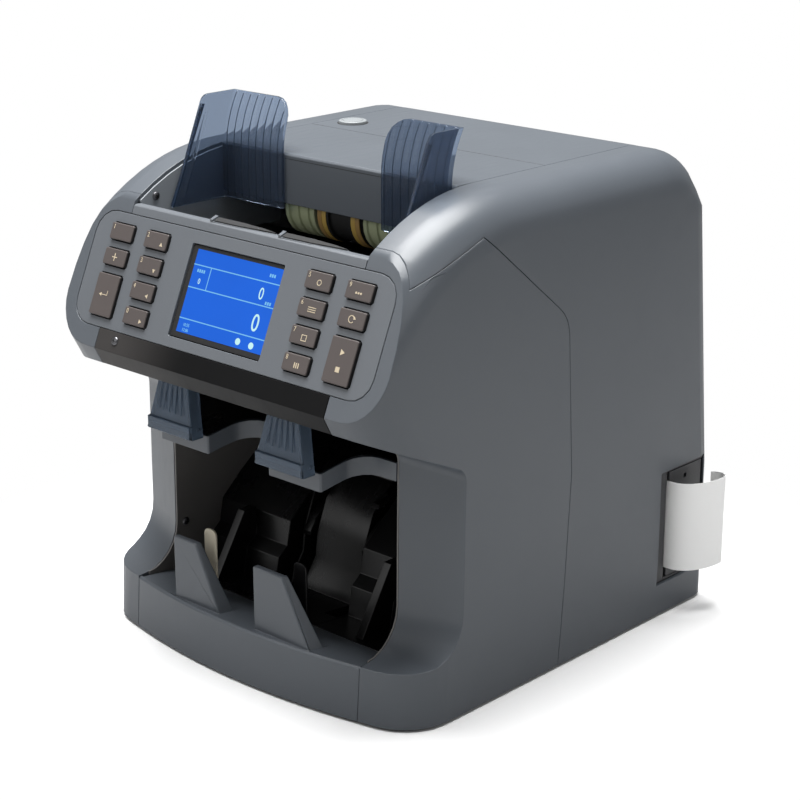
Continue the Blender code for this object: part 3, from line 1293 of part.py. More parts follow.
def reject_tray():
    """Ribbed black shelf of the reject pocket, with lugs for the stops"""
    inset = TRIM_THICKNESS + GAP
    tray = tray_slab("reject_tray", tray_front(inset), -TRAY_THICKNESS, 0.0, BLACK)
    pitch = 2 * TRAY_HALF_WIDTH / (TRAY_RIBS + 1)
    for k in range(TRAY_RIBS):
        x = -TRAY_HALF_WIDTH + pitch * (k + 1)
        start = NOTCH_BACK_Y + inset + NOTCH_RADIUS
        half = TRAY_RIB_WIDTH / 2
        rib = [(x - half, start), (x + half, start), (x + half, TRAY_BACK_Y), (x - half, TRAY_BACK_Y)]
        join(tray, tray_slab("rib", rib, -GAP, TRAY_RIB_HEIGHT))
    for side in (-1, 1):
        x = side * STOP_X
        low, high = x - STOP_LUG_WIDTH / 2, x + STOP_LUG_WIDTH / 2
        arm_y = TRAY_FRONT_Y + inset + OVERRUN
        top = STOP_PIVOT_Z + STOP_LUG_RADIUS
        foot = STOP_PIVOT_Z - STOP_LUG_RADIUS
        arm = [(STOP_PIVOT_Y, foot), (arm_y, tray_height(arm_y) - TRAY_THICKNESS), (arm_y, tray_height(arm_y)),
               (arm_y - OVERRUN / 2, top), (STOP_PIVOT_Y, top)]
        lug = prism("lug", arm, low, high, "X")
        join(lug, prism("eye", circle(STOP_LUG_RADIUS, SHAFT_STEPS, STOP_PIVOT_Y, STOP_PIVOT_Z), low, high, "X"))
        bore = circle(STOP_PIN_RADIUS + GAP, SHAFT_STEPS, STOP_PIVOT_Y, STOP_PIVOT_Z)
        carve(lug, prism("bore", bore, low - OVERRUN, high + OVERRUN, "X"))
        join(tray, lug)
    return tray


def reject_trim():
    """Grey band that hangs along the tray's notched front edge"""
    outer = tray_front(0.0)[1:-1]
    inner = tray_front(TRIM_THICKNESS)[1:-1]
    trim = tray_slab("reject_trim", outer + list(reversed(inner)), -TRIM_DROP, TRIM_TOP, BODY_GREY)
    half = STOP_LUG_WIDTH / 2 + GAP
    for x in (-STOP_X, STOP_X):
        low = (x - half, TRAY_FRONT_Y - OVERRUN, TRAY_FRONT_Z - TRIM_DROP / 2)
        carve(trim, block("lug_gap", low, (x + half, TRAY_FRONT_Y + OVERRUN, TRAY_FRONT_Z + OVERRUN)))
    return trim


def reject_stops():
    """Tapering ribbed stops, open behind, each with a pin across its foot"""
    for side, sign in (("left", -1), ("right", 1)):
        outline = stop_outline(0.0)
        stop = loft(side + "_reject_stop", [stop_ring(outline, 0.0), stop_ring(outline, STOP_DEPTH)], SMOKE_BLUE)
        low_z = STOP_FOOT_Z - OVERRUN
        inner = [(x, max(z, STOP_FOOT_Z) if z > STOP_FOOT_Z + STOP_WALL + GAP else low_z) for x, z in stop_outline(STOP_WALL)]
        carve(stop, loft("hollow", [stop_ring(inner, STOP_WALL), stop_ring(inner, STOP_DEPTH + OVERRUN)]))
        low, high = -STOP_FOOT_HALF_WIDTH + STOP_WALL / 2, STOP_FOOT_HALF_WIDTH - STOP_WALL / 2
        pin = circle(STOP_PIN_RADIUS, 8, STOP_PIVOT_Y, STOP_PIVOT_Z)
        join(stop, prism("pin", pin, low, high, "X"))
        box_low = (-STOP_FOOT_HALF_WIDTH + STOP_WALL, STOP_FRONT_Y - STOP_BOX_PROUD, STOP_FOOT_Z + GAP)
        box_high = (STOP_FOOT_HALF_WIDTH - STOP_WALL, STOP_FRONT_Y + STOP_WALL, STOP_FOOT_Z + STOP_BOX_HEIGHT)
        join(stop, block("box", box_low, box_high))
        stop.data.transform(Matrix.Translation((sign * STOP_X, -STOP_PIVOT_Y, -STOP_PIVOT_Z)))
        stop.location = (0, STOP_PIVOT_Y, STOP_PIVOT_Z)


def stop_ring(outline, depth):
    """An outline seen from the front, set back by a depth and leaning to the rear towards its top"""
    rise = STOP_LEAN / (STOP_TOP_Z - STOP_FOOT_Z)
    return [(x, STOP_FRONT_Y + rise * (z - STOP_FOOT_Z) + depth, z) for x, z in outline]


def stop_outline(shrink):
    """Front view of a stop around its own middle, with rounded upper corners"""
    foot, top = STOP_FOOT_HALF_WIDTH - shrink, STOP_TOP_HALF_WIDTH - shrink
    low, high = STOP_FOOT_Z + shrink, STOP_TOP_Z - shrink
    radius = STOP_WALL + STOP_WALL - shrink
    return rounded([(-foot, low, 0), (foot, low, 0), (top, high, radius), (-top, high, radius)], 3)


def hood_liner():
    """Dark liner under the panel: a strip below the keypad plate, then the roof of the reject pocket"""
    reach = SEAM_X - GAP / 2
    top = slope_point(PLATE_BOTTOM + GAP)
    chin = slope_point(CHIN_EDGE)
    wall = HOOD_LINER_THICKNESS
    back_top = slope_point(PLATE_BOTTOM + GAP, -wall)
    back_chin = slope_point(CHIN_EDGE - wall, -wall)
    outline = [top, chin, (RIDGE_Y, RIDGE_Z), (HOOD_LINER_LEAD_Y, HOOD_LINER_LEAD_Z),
               (HOOD_LINER_REAR_Y, HOOD_LINER_REAR_Z), (HOOD_LINER_REAR_Y, HOOD_LINER_REAR_Z + wall),
               (HOOD_LINER_LEAD_Y, HOOD_LINER_LEAD_Z + wall), (RIDGE_Y + wall, RIDGE_Z + wall), back_chin, back_top]
    return prism("hood_liner", outline, -reach, reach, "X", DARK_GREY)


def side_frames():
    """Steel side plates that carry the shafts, inside the housings"""
    low = PAN_THICKNESS + GAP
    cut = FRAME_CORNER
    pivot_y, pivot_z = hinge_place()
    outline = [(FRAME_FRONT_Y, low), (FRAME_EAR_Y, low), (FRAME_EAR_Y, pivot_z + cut),
               (FRAME_REAR_Y, pivot_z + cut + cut), (FRAME_REAR_Y, FRAME_REAR_SHOULDER_Z),
               (FRAME_REAR_TOP_Y, FRAME_TOP_Z), (FRAME_SHOULDER_Y, FRAME_TOP_Z),
               (FRAME_SHOULDER_Y - cut, FRAME_TOP_Z - cut), (FRAME_FRONT_Y, FRAME_NECK_Z + cut + cut),
               (FRAME_FRONT_Y, LEDGE_Z)]
    inner = SEAM_X + GAP / 2
    right = prism("right_side_frame", outline, inner, inner + FRAME_THICKNESS, "X", STEEL)
    for y, z, radius in ((FEED_Y, FEED_Z, FEED_SHAFT_RADIUS), (TRANSPORT_Y, TRANSPORT_Z, TRANSPORT_SHAFT_RADIUS),
                         (STACKER_Y, STACKER_Z, STACKER_SHAFT_RADIUS), (pivot_y, pivot_z, HINGE_PIN_RADIUS)):
        ring = circle(radius + RUNNING_GAP, SHAFT_STEPS, y, z)
        carve(right, prism("hole", ring, SEAM_X - OVERRUN, SEAM_X + OVERRUN, "X"))
    mirrored(right, "left_side_frame", STEEL)


def main_motor():
    """Drive motor against the left side frame"""
    start = -SEAM_X + GAP / 2
    profile = [(start, MOTOR_BOSS_RADIUS), (start + MOTOR_BOSS_LENGTH, MOTOR_BOSS_RADIUS),
               (start + MOTOR_BOSS_LENGTH, MOTOR_RADIUS), (start + MOTOR_LENGTH, MOTOR_RADIUS)]
    return smooth(turned("main_motor", profile, MOTOR_Y, MOTOR_Z, ROUND_STEPS, STEEL))


def main_board():
    low = PAN_THICKNESS + BOARD_POST_HEIGHT + GAP
    half_x, half_y = BOARD_WIDTH / 2, BOARD_DEPTH / 2
    board = block("main_board", (BOARD_X - half_x, BOARD_Y - half_y, low),
                  (BOARD_X + half_x, BOARD_Y + half_y, low + BOARD_THICKNESS), BOARD_GREEN)
    top = low + BOARD_THICKNESS - GAP
    for k in range(4):
        x = BOARD_X + (k - 2) * (CHIP_SIZE + CHIP_SIZE)
        y = BOARD_Y + half_y - CHIP_SIZE - CHIP_SIZE
        join(board, block("chip", (x, y, top), (x + CHIP_SIZE, y + CHIP_SIZE, top + CHIP_HEIGHT)))
    for k in range(3):
        x = BOARD_X + half_x - CHIP_SIZE - k * (CAN_RADIUS * 3)
        ring = circle(CAN_RADIUS, 8, x, BOARD_Y - half_y + CHIP_SIZE)
        join(board, prism("can", ring, top, top + CAN_HEIGHT, "Z"))
    return board


def printer_frame():
    """Open box of the printer with its front strip"""
    low = (PRINTER_BACK_X, PRINTER_FRONT_Y, PRINTER_FOOT_Z)
    high = (PRINTER_FACE_X, PRINTER_REAR_Y, PRINTER_TOP_Z)
    frame = block("printer_frame", low, high, DARK_GREY)
    wall = PRINTER_WALL
    well_low = (PRINTER_BACK_X + wall, PRINTER_FRONT_Y + PRINTER_STRIP, PRINTER_FOOT_Z + wall)
    well_high = (PRINTER_FACE_X + OVERRUN, PRINTER_REAR_Y + OVERRUN, PRINTER_TOP_Z - wall)
    carve(frame, block("well", well_low, well_high))
    rear = block("rear", (PRINTER_BACK_X, PRINTER_REAR_Y - wall, PRINTER_FOOT_Z),
                 (PRINTER_FACE_X - DOOR_THICKNESS - DOOR_THICKNESS, PRINTER_REAR_Y, PRINTER_TOP_Z))
    join(frame, rear)
    x, y, low = roll_place()
    floor = PRINTER_FOOT_Z + wall - GAP
    collar = circle(ROLL_CORE_RADIUS + wall, SHAFT_STEPS, x, y)
    join(frame, prism("collar", collar, floor, low - GAP, "Z"))
    spindle = circle(ROLL_CORE_RADIUS - RUNNING_GAP, SHAFT_STEPS, x, y)
    return join(frame, prism("spindle", spindle, floor, low + PAPER_WIDTH / 2, "Z"))


def roll_place():
    """Foot of the paper roll on its spindle"""
    x = PRINTER_BACK_X + PRINTER_WALL + ROLL_RADIUS + GAP + GAP
    y = (PRINTER_FRONT_Y + PRINTER_STRIP + PRINTER_REAR_Y - PRINTER_WALL) / 2
    return x, y, PRINTER_FOOT_Z + (PRINTER_TOP_Z - PRINTER_FOOT_Z - PAPER_WIDTH) / 2


def door_pivot():
    return PRINTER_FACE_X - DOOR_THICKNESS / 2, PRINTER_REAR_Y - DOOR_PIVOT_INSET


def printer_door():
    """Paper door hinged on its upright rear edge, with a square finger hole"""
    pivot_x, pivot_y = door_pivot()
    half = DOOR_THICKNESS / 2
    front_y = PRINTER_FRONT_Y + PRINTER_STRIP + PAPER_SLOT
    low = PRINTER_FOOT_Z + PRINTER_WALL + DOOR_CLEARANCE
    high = PRINTER_TOP_Z - PRINTER_WALL - DOOR_CLEARANCE
    outline = [(pivot_x - half, front_y), (pivot_x + half, front_y), (pivot_x + half, pivot_y)]
    for k in range(1, 6):
        angle = math.pi * k / 6
        outline.append((pivot_x + half * math.cos(angle), pivot_y + half * math.sin(angle)))
    outline.append((pivot_x - half, pivot_y))
    door = prism("printer_door", outline, low, high, "Z", DARK_GREY)
    middle = (front_y + pivot_y) / 2
    hole_z = high - HOLE_SIZE * 3
    carve(door, block("hole", (pivot_x - OVERRUN, middle - HOLE_SIZE / 2, hole_z),
                      (pivot_x + OVERRUN, middle + HOLE_SIZE / 2, hole_z + HOLE_SIZE)))
    door.data.transform(Matrix.Translation((-pivot_x, -pivot_y, 0)))
    door.location = (pivot_x, pivot_y, 0)
    return door


def paper_roll():
    roll = prism("paper_roll", circle(ROLL_RADIUS, ROUND_STEPS), 0.0, PAPER_WIDTH, "Z", PAPER_WHITE)
    carve(roll, prism("core", circle(ROLL_CORE_RADIUS, SHAFT_STEPS), -OVERRUN, PAPER_WIDTH + OVERRUN, "Z"))
    roll.location = roll_place()
    return smooth(roll)


def paper_path():
    """Plan of the printed slip: out of the slot, along the side in a wide bow, then curled back"""
    lead_y = PRINTER_FRONT_Y + PRINTER_STRIP + PAPER_SLOT - GAP - PAPER_THICKNESS / 2
    start = (PRINTER_FACE_X - DOOR_THICKNESS - DOOR_THICKNESS, lead_y)
    lead = (PAPER_LEAVE_X, lead_y)
    curl_x = PAPER_LEAVE_X + PAPER_REACH - PAPER_CURL_RADIUS
    points = [start]
    for k in range(PAPER_STEPS + 1):
        share = k / PAPER_STEPS
        angle = math.pi / 2 * share
        x = lead[0] + (curl_x + PAPER_CURL_RADIUS - lead[0]) * math.sin(angle)
        y = PAPER_CURL_Y - (PAPER_CURL_Y - lead[1]) * math.cos(angle)
        points.append((x, y))
    for k in range(1, PAPER_STEPS + 1):
        angle = math.radians(150) * k / PAPER_STEPS
        points.append((curl_x + PAPER_CURL_RADIUS * math.cos(angle), PAPER_CURL_Y + PAPER_CURL_RADIUS * math.sin(angle)))
    return points


def paper_strip():
    path = paper_path()
    sides = []
    for sign in (1, -1):
        side = []
        for i, point in enumerate(path):
            ahead = Vector(path[min(i + 1, len(path) - 1)]) - Vector(path[max(i - 1, 0)])
            across = Vector((ahead.y, -ahead.x)).normalized() * (sign * PAPER_THICKNESS / 2)
            side.append(tuple(Vector(point) + across))
        sides.append(side)
    low = roll_place()[2]
    outline = sides[0] + list(reversed(sides[1]))
    return smooth(prism("paper_strip", outline, low, low + PAPER_WIDTH, "Z", PAPER_WHITE))


def build():
    clear_scene()
    frame = panel_frame()
    side_housings(frame)
    front_skirt()
    note_stop_plate()
    stack_blades()
    base_pan()
    power_inlet()
    power_switch()
    keypad_plate(frame)
    keys(frame)
    display_module(frame)
    hopper_lip()
    hopper_floor()
    hopper_sides()
    hopper_guides()
    hopper_cover()
    rear_cover()
    release_button()
    feed_rollers()
    transport_roller()
    stacker_housing()
    stacker_wheels()
    pocket_liners()
    reject_tray()
    reject_trim()
    reject_stops()
    hood_liner()
    side_frames()
    main_motor()
    main_board()
    printer_frame()
    printer_door()
    paper_roll()
    paper_strip()


build()
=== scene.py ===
import json
import math

import bmesh
import bpy
from mathutils import Matrix, Vector

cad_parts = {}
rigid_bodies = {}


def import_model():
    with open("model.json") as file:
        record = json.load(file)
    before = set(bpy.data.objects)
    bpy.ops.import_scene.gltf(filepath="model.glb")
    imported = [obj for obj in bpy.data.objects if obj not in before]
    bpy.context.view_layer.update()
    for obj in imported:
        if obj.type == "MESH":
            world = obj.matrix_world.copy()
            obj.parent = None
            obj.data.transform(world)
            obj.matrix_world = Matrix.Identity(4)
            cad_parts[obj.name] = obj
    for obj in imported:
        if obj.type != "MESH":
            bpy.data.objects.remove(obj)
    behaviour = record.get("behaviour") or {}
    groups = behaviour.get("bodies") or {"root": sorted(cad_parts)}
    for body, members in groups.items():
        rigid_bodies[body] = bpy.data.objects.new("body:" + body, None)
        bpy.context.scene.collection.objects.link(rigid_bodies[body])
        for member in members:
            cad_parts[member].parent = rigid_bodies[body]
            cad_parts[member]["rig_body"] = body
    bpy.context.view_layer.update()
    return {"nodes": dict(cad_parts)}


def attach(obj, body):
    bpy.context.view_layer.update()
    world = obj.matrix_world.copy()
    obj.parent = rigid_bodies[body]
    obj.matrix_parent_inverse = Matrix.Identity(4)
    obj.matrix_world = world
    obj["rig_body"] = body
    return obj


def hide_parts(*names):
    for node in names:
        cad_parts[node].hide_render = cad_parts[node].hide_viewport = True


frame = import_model()

# The machine's own sizes, in metres, as its solids have them
PANEL_TOP_Y = -0.1264
PANEL_TOP_Z = 0.2657
PANEL_TILT = math.radians(23.4)
TOP_Z = 0.293
COVER_SEAM_Y = 0.01855
COVER_SEAM_REACH = 0.0925
HALF_SEAM_WIDTH = 0.0002
HOPPER_BACK_Y = -0.0571
KEY_WIDTH = 0.0193
KEY_HEIGHT = 0.0102
KEY_PITCH = 0.0151
KEY_ROW_TOP = 0.0126
KEY_OUTER_X = 0.0959
KEY_INNER_X = 0.0657
KEY_PROUD = 0.0019
KEY_CORNER = 0.0011
FEED_Y = -0.035
FEED_Z = 0.2595
RING_X = 0.0135
RING_BAND = 0.0034
RING_RADIUS = 0.01855
RING_EDGE_RADIUS = 0.01850
RING_GAP = 0.0001
RING_DEPTH = 0.0006
BUTTON_X = -0.077
BUTTON_Y = 0.0385
POCKET_WALL_X = 0.0927
SLIP_LEAVE_X = 0.1322
SLIP_OUT_SHARE = 0.87
SLIP_ALONG_SHARE = 0.92

# Key caps: steps out from the panel, and how much the outline grows or shrinks there
KEY_FLANK_FOOT = -0.0040
KEY_STEPS = ((-0.0006, -0.0002), (-0.0002, -0.0003), (-0.00005, -0.00055), (0.0, -0.0009))
# How far below the cap's top the painted shade on its flanks begins
KEY_PAINTED_SHADE_DROP = 0.0005
FIGURE_SHARE = 0.20
FIGURE_X_SHARE = 0.72
FIGURE_Y_SHARE = 0.27
FIGURE_STRETCH = 0.85

# Finger rests on the hopper's lip: outlines in millimetres, X from the rest's left end
REST_STARTS = (("left", -34.5), ("right", 20.5))
REST_OUTLINE = ((0, -116.6), (5.4, -125.9), (30, -125.6), (57, -122.4), (46, -119.4), (26, -117.2))
# The leaf-shaped sheet is matt black, painted shade for the shaded hollow of each rest
SHADED_HOLLOW_OUTLINE = ((4.4, -118.2), (8.0, -125.2), (28, -124.9), (55, -122.3), (44, -120.0), (26, -118.2))
RIM_OUTLINE = ((0, -116.6), (5.4, -125.9), (7.6, -125.9), (3.4, -117.6))
REST_LEVELS = (0.2590, 0.2659)
SHADED_HOLLOW_LEVELS = (0.2650, 0.2667)
RIM_LEVELS = (0.2600, 0.2671)
REST_EDGE = 0.00015

# Lines on the hopper's back wall
STEP_LINE_REACH = 0.0400
STEP_LINE_DROP = 0.0033
LINE_WIDTH = 0.0003
TICK_ENDS = (-0.0780, -0.0700)
TICK_HEIGHTS = (0.2795, 0.2705)

# Reject stops: ribs on the sloping front, from the box at the foot to the rounded top
STOP_X = 0.04545
STOP_RIB_PITCH_LOW = 0.0052
STOP_RIB_PITCH_HIGH = 0.0040
STOP_RIB_LOW = (-0.1470, 0.1545)
STOP_RIB_HIGH = (-0.1438, 0.1705)
STOP_RIB_HALF_WIDTH = 0.0005
STOP_RIB_ROOT = 0.0006

# Hopper guides: the back plate stands upright, then leans back
GUIDE_BACK_Y = HOPPER_BACK_Y - 0.0024
GUIDE_LINE_LIFT = 0.0005
GUIDE_LINE_FOOT_Z = 0.262
GUIDE_FLARE_START_Z = 0.291
GUIDE_LINE_TOP_Z = 0.3225
GUIDE_TOP_Z = 0.3235
GUIDE_FLARE = 0.0095
GUIDE_LINES = 8
GUIDE_LINE_START_X = 0.0892
GUIDE_LINE_SPAN = 0.0495
GUIDE_CORNER_DROP = 0.006
GUIDE_LINE_HALF = (0.00018, 0.00015)
GUIDE_EDGE_X = 0.0902
GUIDE_EDGE_FOOT = (-0.1008, 0.2605)
GUIDE_EDGE_RUN = (0.0265, 0.0575)
GUIDE_EDGE_HALF = (0.0011, 0.0004)
GUIDE_STEPS = 6

# Release button: radius and rise of its profile, and the gap round it
BUTTON_PROFILE = ((0.0089, -0.0026), (0.0089, 0.0011), (0.0086, 0.0016), (0.0081, 0.0018), (0.0070, 0.0018),
                  (0.0067, 0.0014), (0.0063, 0.0014), (0.0060, 0.0018), (0.0002, 0.0019))
BUTTON_GAP_RADIUS = 0.0094
BUTTON_GAP_WIDTH = 0.0008

# Screws: places on the right half that the left half mirrors, and the one of the hood strip
WALL_SCREWS = ((POCKET_WALL_X, -0.1109, 0.2681), (POCKET_WALL_X, -0.0968, 0.0596))
HOOD_SCREW = (-0.0782, 0.0795)
SCREW_RADIUS = 0.0026
SCREW_SEED = 7
SCREW_PROFILE = ((1.0, -0.4), (1.0, 0.05), (0.93, 0.22), (0.72, 0.36), (0.40, 0.43), (0.02, 0.45))
SCREW_SIDES = 32
CROSS_LENGTH, CROSS_WIDTH = 0.95, 0.20
CROSS_LEVELS = (0.20, 0.462)
ROUND_STEPS = 64
NEARLY_ROUND = 2 * math.pi - 0.01
SKIN = 0.00012

# The lit field of the display on the panel: across, and down the slope
SCREEN_LEFT, SCREEN_RIGHT = -0.0326, 0.0363
SCREEN_TOP, SCREEN_BOTTOM = 0.0161, 0.0640
SCREEN_FACE = -0.0012
SCREEN_RULE = 0.0006
RULE_SHARES = (0.185, 0.458, 0.832)
SCREEN_FIGURES = ((0.83, 0.334, "0", 0.0096, 0.80), (0.853, 0.675, "0", 0.0140, 0.85),
                  (0.107, 0.374, "0", 0.0046, 0.8))
SCREEN_SMALL_LINES = ((0.10, 0.905, "10:25"), (0.10, 0.965, "12.06"))
SCREEN_DOTS = ((0.719, 0.923), (0.873, 0.930))
SCREEN_TICKS = ((0.10, 0.25, 4), (0.90, 0.10, 3), (0.93, 0.42, 3))

# Camera of the photograph
CAMERA_PLACE = (0.8058, -0.8680, 0.5280)
CAMERA_AZIMUTH = math.radians(42.9)
CAMERA_DROP = math.radians(18.3)
CAMERA_LENS = 91.4

# Lamps: name, place, width and height, power, each aimed at the machine's middle
LAMP_AIM = (0, 0, 0.15)
LAMPS = (("overhead", (-0.2, 0.0, 1.7), (1.3, 1.3), 80.0),
         ("front_left", (-0.9, -1.5, 1.0), (0.9, 1.2), 5.0),
         ("right", (1.7, 0.2, 0.9), (0.7, 1.2), 3.0))

# Floor: where it fades to white, and how much light it gives back to the machine
FLOOR_RADIUS = 3.0
FADE_START, FADE_END = 0.17, 0.34
FLOOR_SEEN, FLOOR_BOUNCE = 0.86, 0.45
SKY_SEEN, SKY_LIGHT = 1.0, 0.27


def colour(red, green, blue):
    """A screen colour, 0 to 255, as the linear value that a shader takes"""
    parts = []
    for part in (red, green, blue):
        share = part / 255
        parts.append(share / 12.92 if share <= 0.04045 else ((share + 0.055) / 1.055) ** 2.4)
    return (*parts, 1.0)


# Shader groups shared by the finishes

def new_group(name, inputs, outputs):
    """An empty shader group with its sockets"""
    group = bpy.data.node_groups.new(name, "ShaderNodeTree")
    for label, kind, value in inputs:
        socket = group.interface.new_socket(label, in_out="INPUT", socket_type=kind)
        socket.default_value = value
    for label, kind in outputs:
        group.interface.new_socket(label, in_out="OUTPUT", socket_type=kind)
    return group, group.nodes.new("NodeGroupInput"), group.nodes.new("NodeGroupOutput")


def moulded_skin_group():
    """Spark-eroded grain of a mould, with the slow shade changes of a large moulding"""
    group, take, give = new_group(
        "moulded_skin",
        [("Color", "NodeSocketColor", (0.1, 0.1, 0.1, 1)), ("Roughness", "NodeSocketFloat", 0.4),
         ("Grain Scale", "NodeSocketFloat", 2200.0), ("Shade Change", "NodeSocketFloat", 0.06)],
        [("Color", "NodeSocketColor"), ("Roughness", "NodeSocketFloat"), ("Height", "NodeSocketFloat")])
    links = group.links
    place = group.nodes.new("ShaderNodeTexCoord")
    grain = group.nodes.new("ShaderNodeTexNoise")
    grain.inputs["Detail"].default_value = 3.0
    links.new(place.outputs["Object"], grain.inputs["Vector"])
    links.new(take.outputs["Grain Scale"], grain.inputs["Scale"])
    cloud = group.nodes.new("ShaderNodeTexNoise")
    cloud.inputs["Scale"].default_value = 14.0
    cloud.inputs["Detail"].default_value = 4.0
    links.new(place.outputs["Object"], cloud.inputs["Vector"])
    centred = group.nodes.new("ShaderNodeMath")
    centred.operation = "SUBTRACT"
    centred.inputs[1].default_value = 0.5
    links.new(cloud.outputs["Fac"], centred.inputs[0])
    swing = group.nodes.new("ShaderNodeMath")
    swing.operation = "MULTIPLY"
    links.new(centred.outputs[0], swing.inputs[0])
    links.new(take.outputs["Shade Change"], swing.inputs[1])
    level = group.nodes.new("ShaderNodeMath")
    level.operation = "ADD"
    level.inputs[1].default_value = 1.0
    links.new(swing.outputs[0], level.inputs[0])
    shade = group.nodes.new("ShaderNodeVectorMath")
    shade.operation = "SCALE"
    links.new(take.outputs["Color"], shade.inputs[0])
    links.new(level.outputs[0], shade.inputs["Scale"])
    links.new(shade.outputs[0], give.inputs["Color"])
    matt = group.nodes.new("ShaderNodeMath")
    matt.operation = "MULTIPLY_ADD"
    matt.inputs[1].default_value = 1.4
    links.new(swing.outputs[0], matt.inputs[0])
    links.new(take.outputs["Roughness"], matt.inputs[2])
    links.new(matt.outputs[0], give.inputs["Roughness"])
    links.new(grain.outputs["Fac"], give.inputs["Height"])
    return group


def scuff_group():
    """Fine hair scratches and rubbed spots, as a mask that lifts roughness"""
    group, take, give = new_group(
        "fine_scuffs",
        [("Scale", "NodeSocketFloat", 60.0), ("Stretch", "NodeSocketFloat", 4.0),
         ("Amount", "NodeSocketFloat", 0.1)],
        [("Mask", "NodeSocketFloat")])
    links = group.links
    place = group.nodes.new("ShaderNodeTexCoord")
    pull = group.nodes.new("ShaderNodeCombineXYZ")
    pull.inputs["Y"].default_value = 1.0
    pull.inputs["Z"].default_value = 1.0
    links.new(take.outputs["Stretch"], pull.inputs["X"])
    drawn = group.nodes.new("ShaderNodeVectorMath")
    drawn.operation = "MULTIPLY"
    links.new(place.outputs["Object"], drawn.inputs[0])
    links.new(pull.outputs[0], drawn.inputs[1])
    noise = group.nodes.new("ShaderNodeTexNoise")
    noise.inputs["Detail"].default_value = 6.0
    links.new(drawn.outputs[0], noise.inputs["Vector"])
    links.new(take.outputs["Scale"], noise.inputs["Scale"])
    band = group.nodes.new("ShaderNodeMapRange")
    band.inputs["From Min"].default_value = 0.5
    band.inputs["From Max"].default_value = 0.75
    links.new(noise.outputs["Fac"], band.inputs["Value"])
    out = group.nodes.new("ShaderNodeMath")
    out.operation = "MULTIPLY"
    links.new(band.outputs[0], out.inputs[0])
    links.new(take.outputs["Amount"], out.inputs[1])
    links.new(out.outputs[0], give.inputs["Mask"])
    return group


MOULDED_SKIN = moulded_skin_group()
FINE_SCUFFS = scuff_group()


def principled(name):
    """A new material and its shader node"""
    material = bpy.data.materials.new(name)
    material.use_nodes = True
    return material, material.node_tree.nodes["Principled BSDF"]


def moulded(name, base, roughness, grain_scale=2200.0, grain_depth=0.00004, shade_change=0.08, scuffs=0.05,
            specular=0.5):
    """Injection-moulded plastic"""
    material, shader = principled(name)
    nodes, links = material.node_tree.nodes, material.node_tree.links
    skin = nodes.new("ShaderNodeGroup")
    skin.node_tree = MOULDED_SKIN
    skin.inputs["Color"].default_value = base
    skin.inputs["Roughness"].default_value = roughness
    skin.inputs["Grain Scale"].default_value = grain_scale
    skin.inputs["Shade Change"].default_value = shade_change
    marks = nodes.new("ShaderNodeGroup")
    marks.node_tree = FINE_SCUFFS
    marks.inputs["Amount"].default_value = scuffs
    rough = nodes.new("ShaderNodeMath")
    rough.operation = "ADD"
    links.new(skin.outputs["Roughness"], rough.inputs[0])
    links.new(marks.outputs["Mask"], rough.inputs[1])
    bump = nodes.new("ShaderNodeBump")
    bump.inputs["Strength"].default_value = 0.6
    bump.inputs["Distance"].default_value = grain_depth
    links.new(skin.outputs["Height"], bump.inputs["Height"])
    links.new(skin.outputs["Color"], shader.inputs["Base Color"])
    links.new(rough.outputs[0], shader.inputs["Roughness"])
    links.new(bump.outputs[0], shader.inputs["Normal"])
    shader.inputs["Specular IOR Level"].default_value = specular
    return material


def smoky(name, tint, roughness, clear, bend=1.2):
    """Tinted clear polycarbonate with a few fine scuffs; clear is how much light it lets through"""
    material, shader = principled(name)
    nodes, links = material.node_tree.nodes, material.node_tree.links
    marks = nodes.new("ShaderNodeGroup")
    marks.node_tree = FINE_SCUFFS
    marks.inputs["Amount"].default_value = 0.04
    marks.inputs["Scale"].default_value = 45.0
    rough = nodes.new("ShaderNodeMath")
    rough.operation = "ADD"
    rough.inputs[1].default_value = roughness
    links.new(marks.outputs["Mask"], rough.inputs[0])
    links.new(rough.outputs[0], shader.inputs["Roughness"])
    shader.inputs["Base Color"].default_value = tint
    shader.inputs["Transmission Weight"].default_value = clear
    shader.inputs["IOR"].default_value = bend
    return material


def brushed(name, base, roughness):
    """Ground or brushed steel"""
    material, shader = principled(name)
    nodes, links = material.node_tree.nodes, material.node_tree.links
    marks = nodes.new("ShaderNodeGroup")
    marks.node_tree = FINE_SCUFFS
    marks.inputs["Scale"].default_value = 160.0
    marks.inputs["Stretch"].default_value = 0.05
    marks.inputs["Amount"].default_value = 0.25
    rough = nodes.new("ShaderNodeMath")
    rough.operation = "ADD"
    rough.inputs[1].default_value = roughness
    links.new(marks.outputs["Mask"], rough.inputs[0])
    links.new(rough.outputs[0], shader.inputs["Roughness"])
    shader.inputs["Base Color"].default_value = base
    shader.inputs["Metallic"].default_value = 1.0
    bump = nodes.new("ShaderNodeBump")
    bump.inputs["Strength"].default_value = 0.3
    bump.inputs["Distance"].default_value = 0.00002
    links.new(marks.outputs["Mask"], bump.inputs["Height"])
    links.new(bump.outputs[0], shader.inputs["Normal"])
    return material


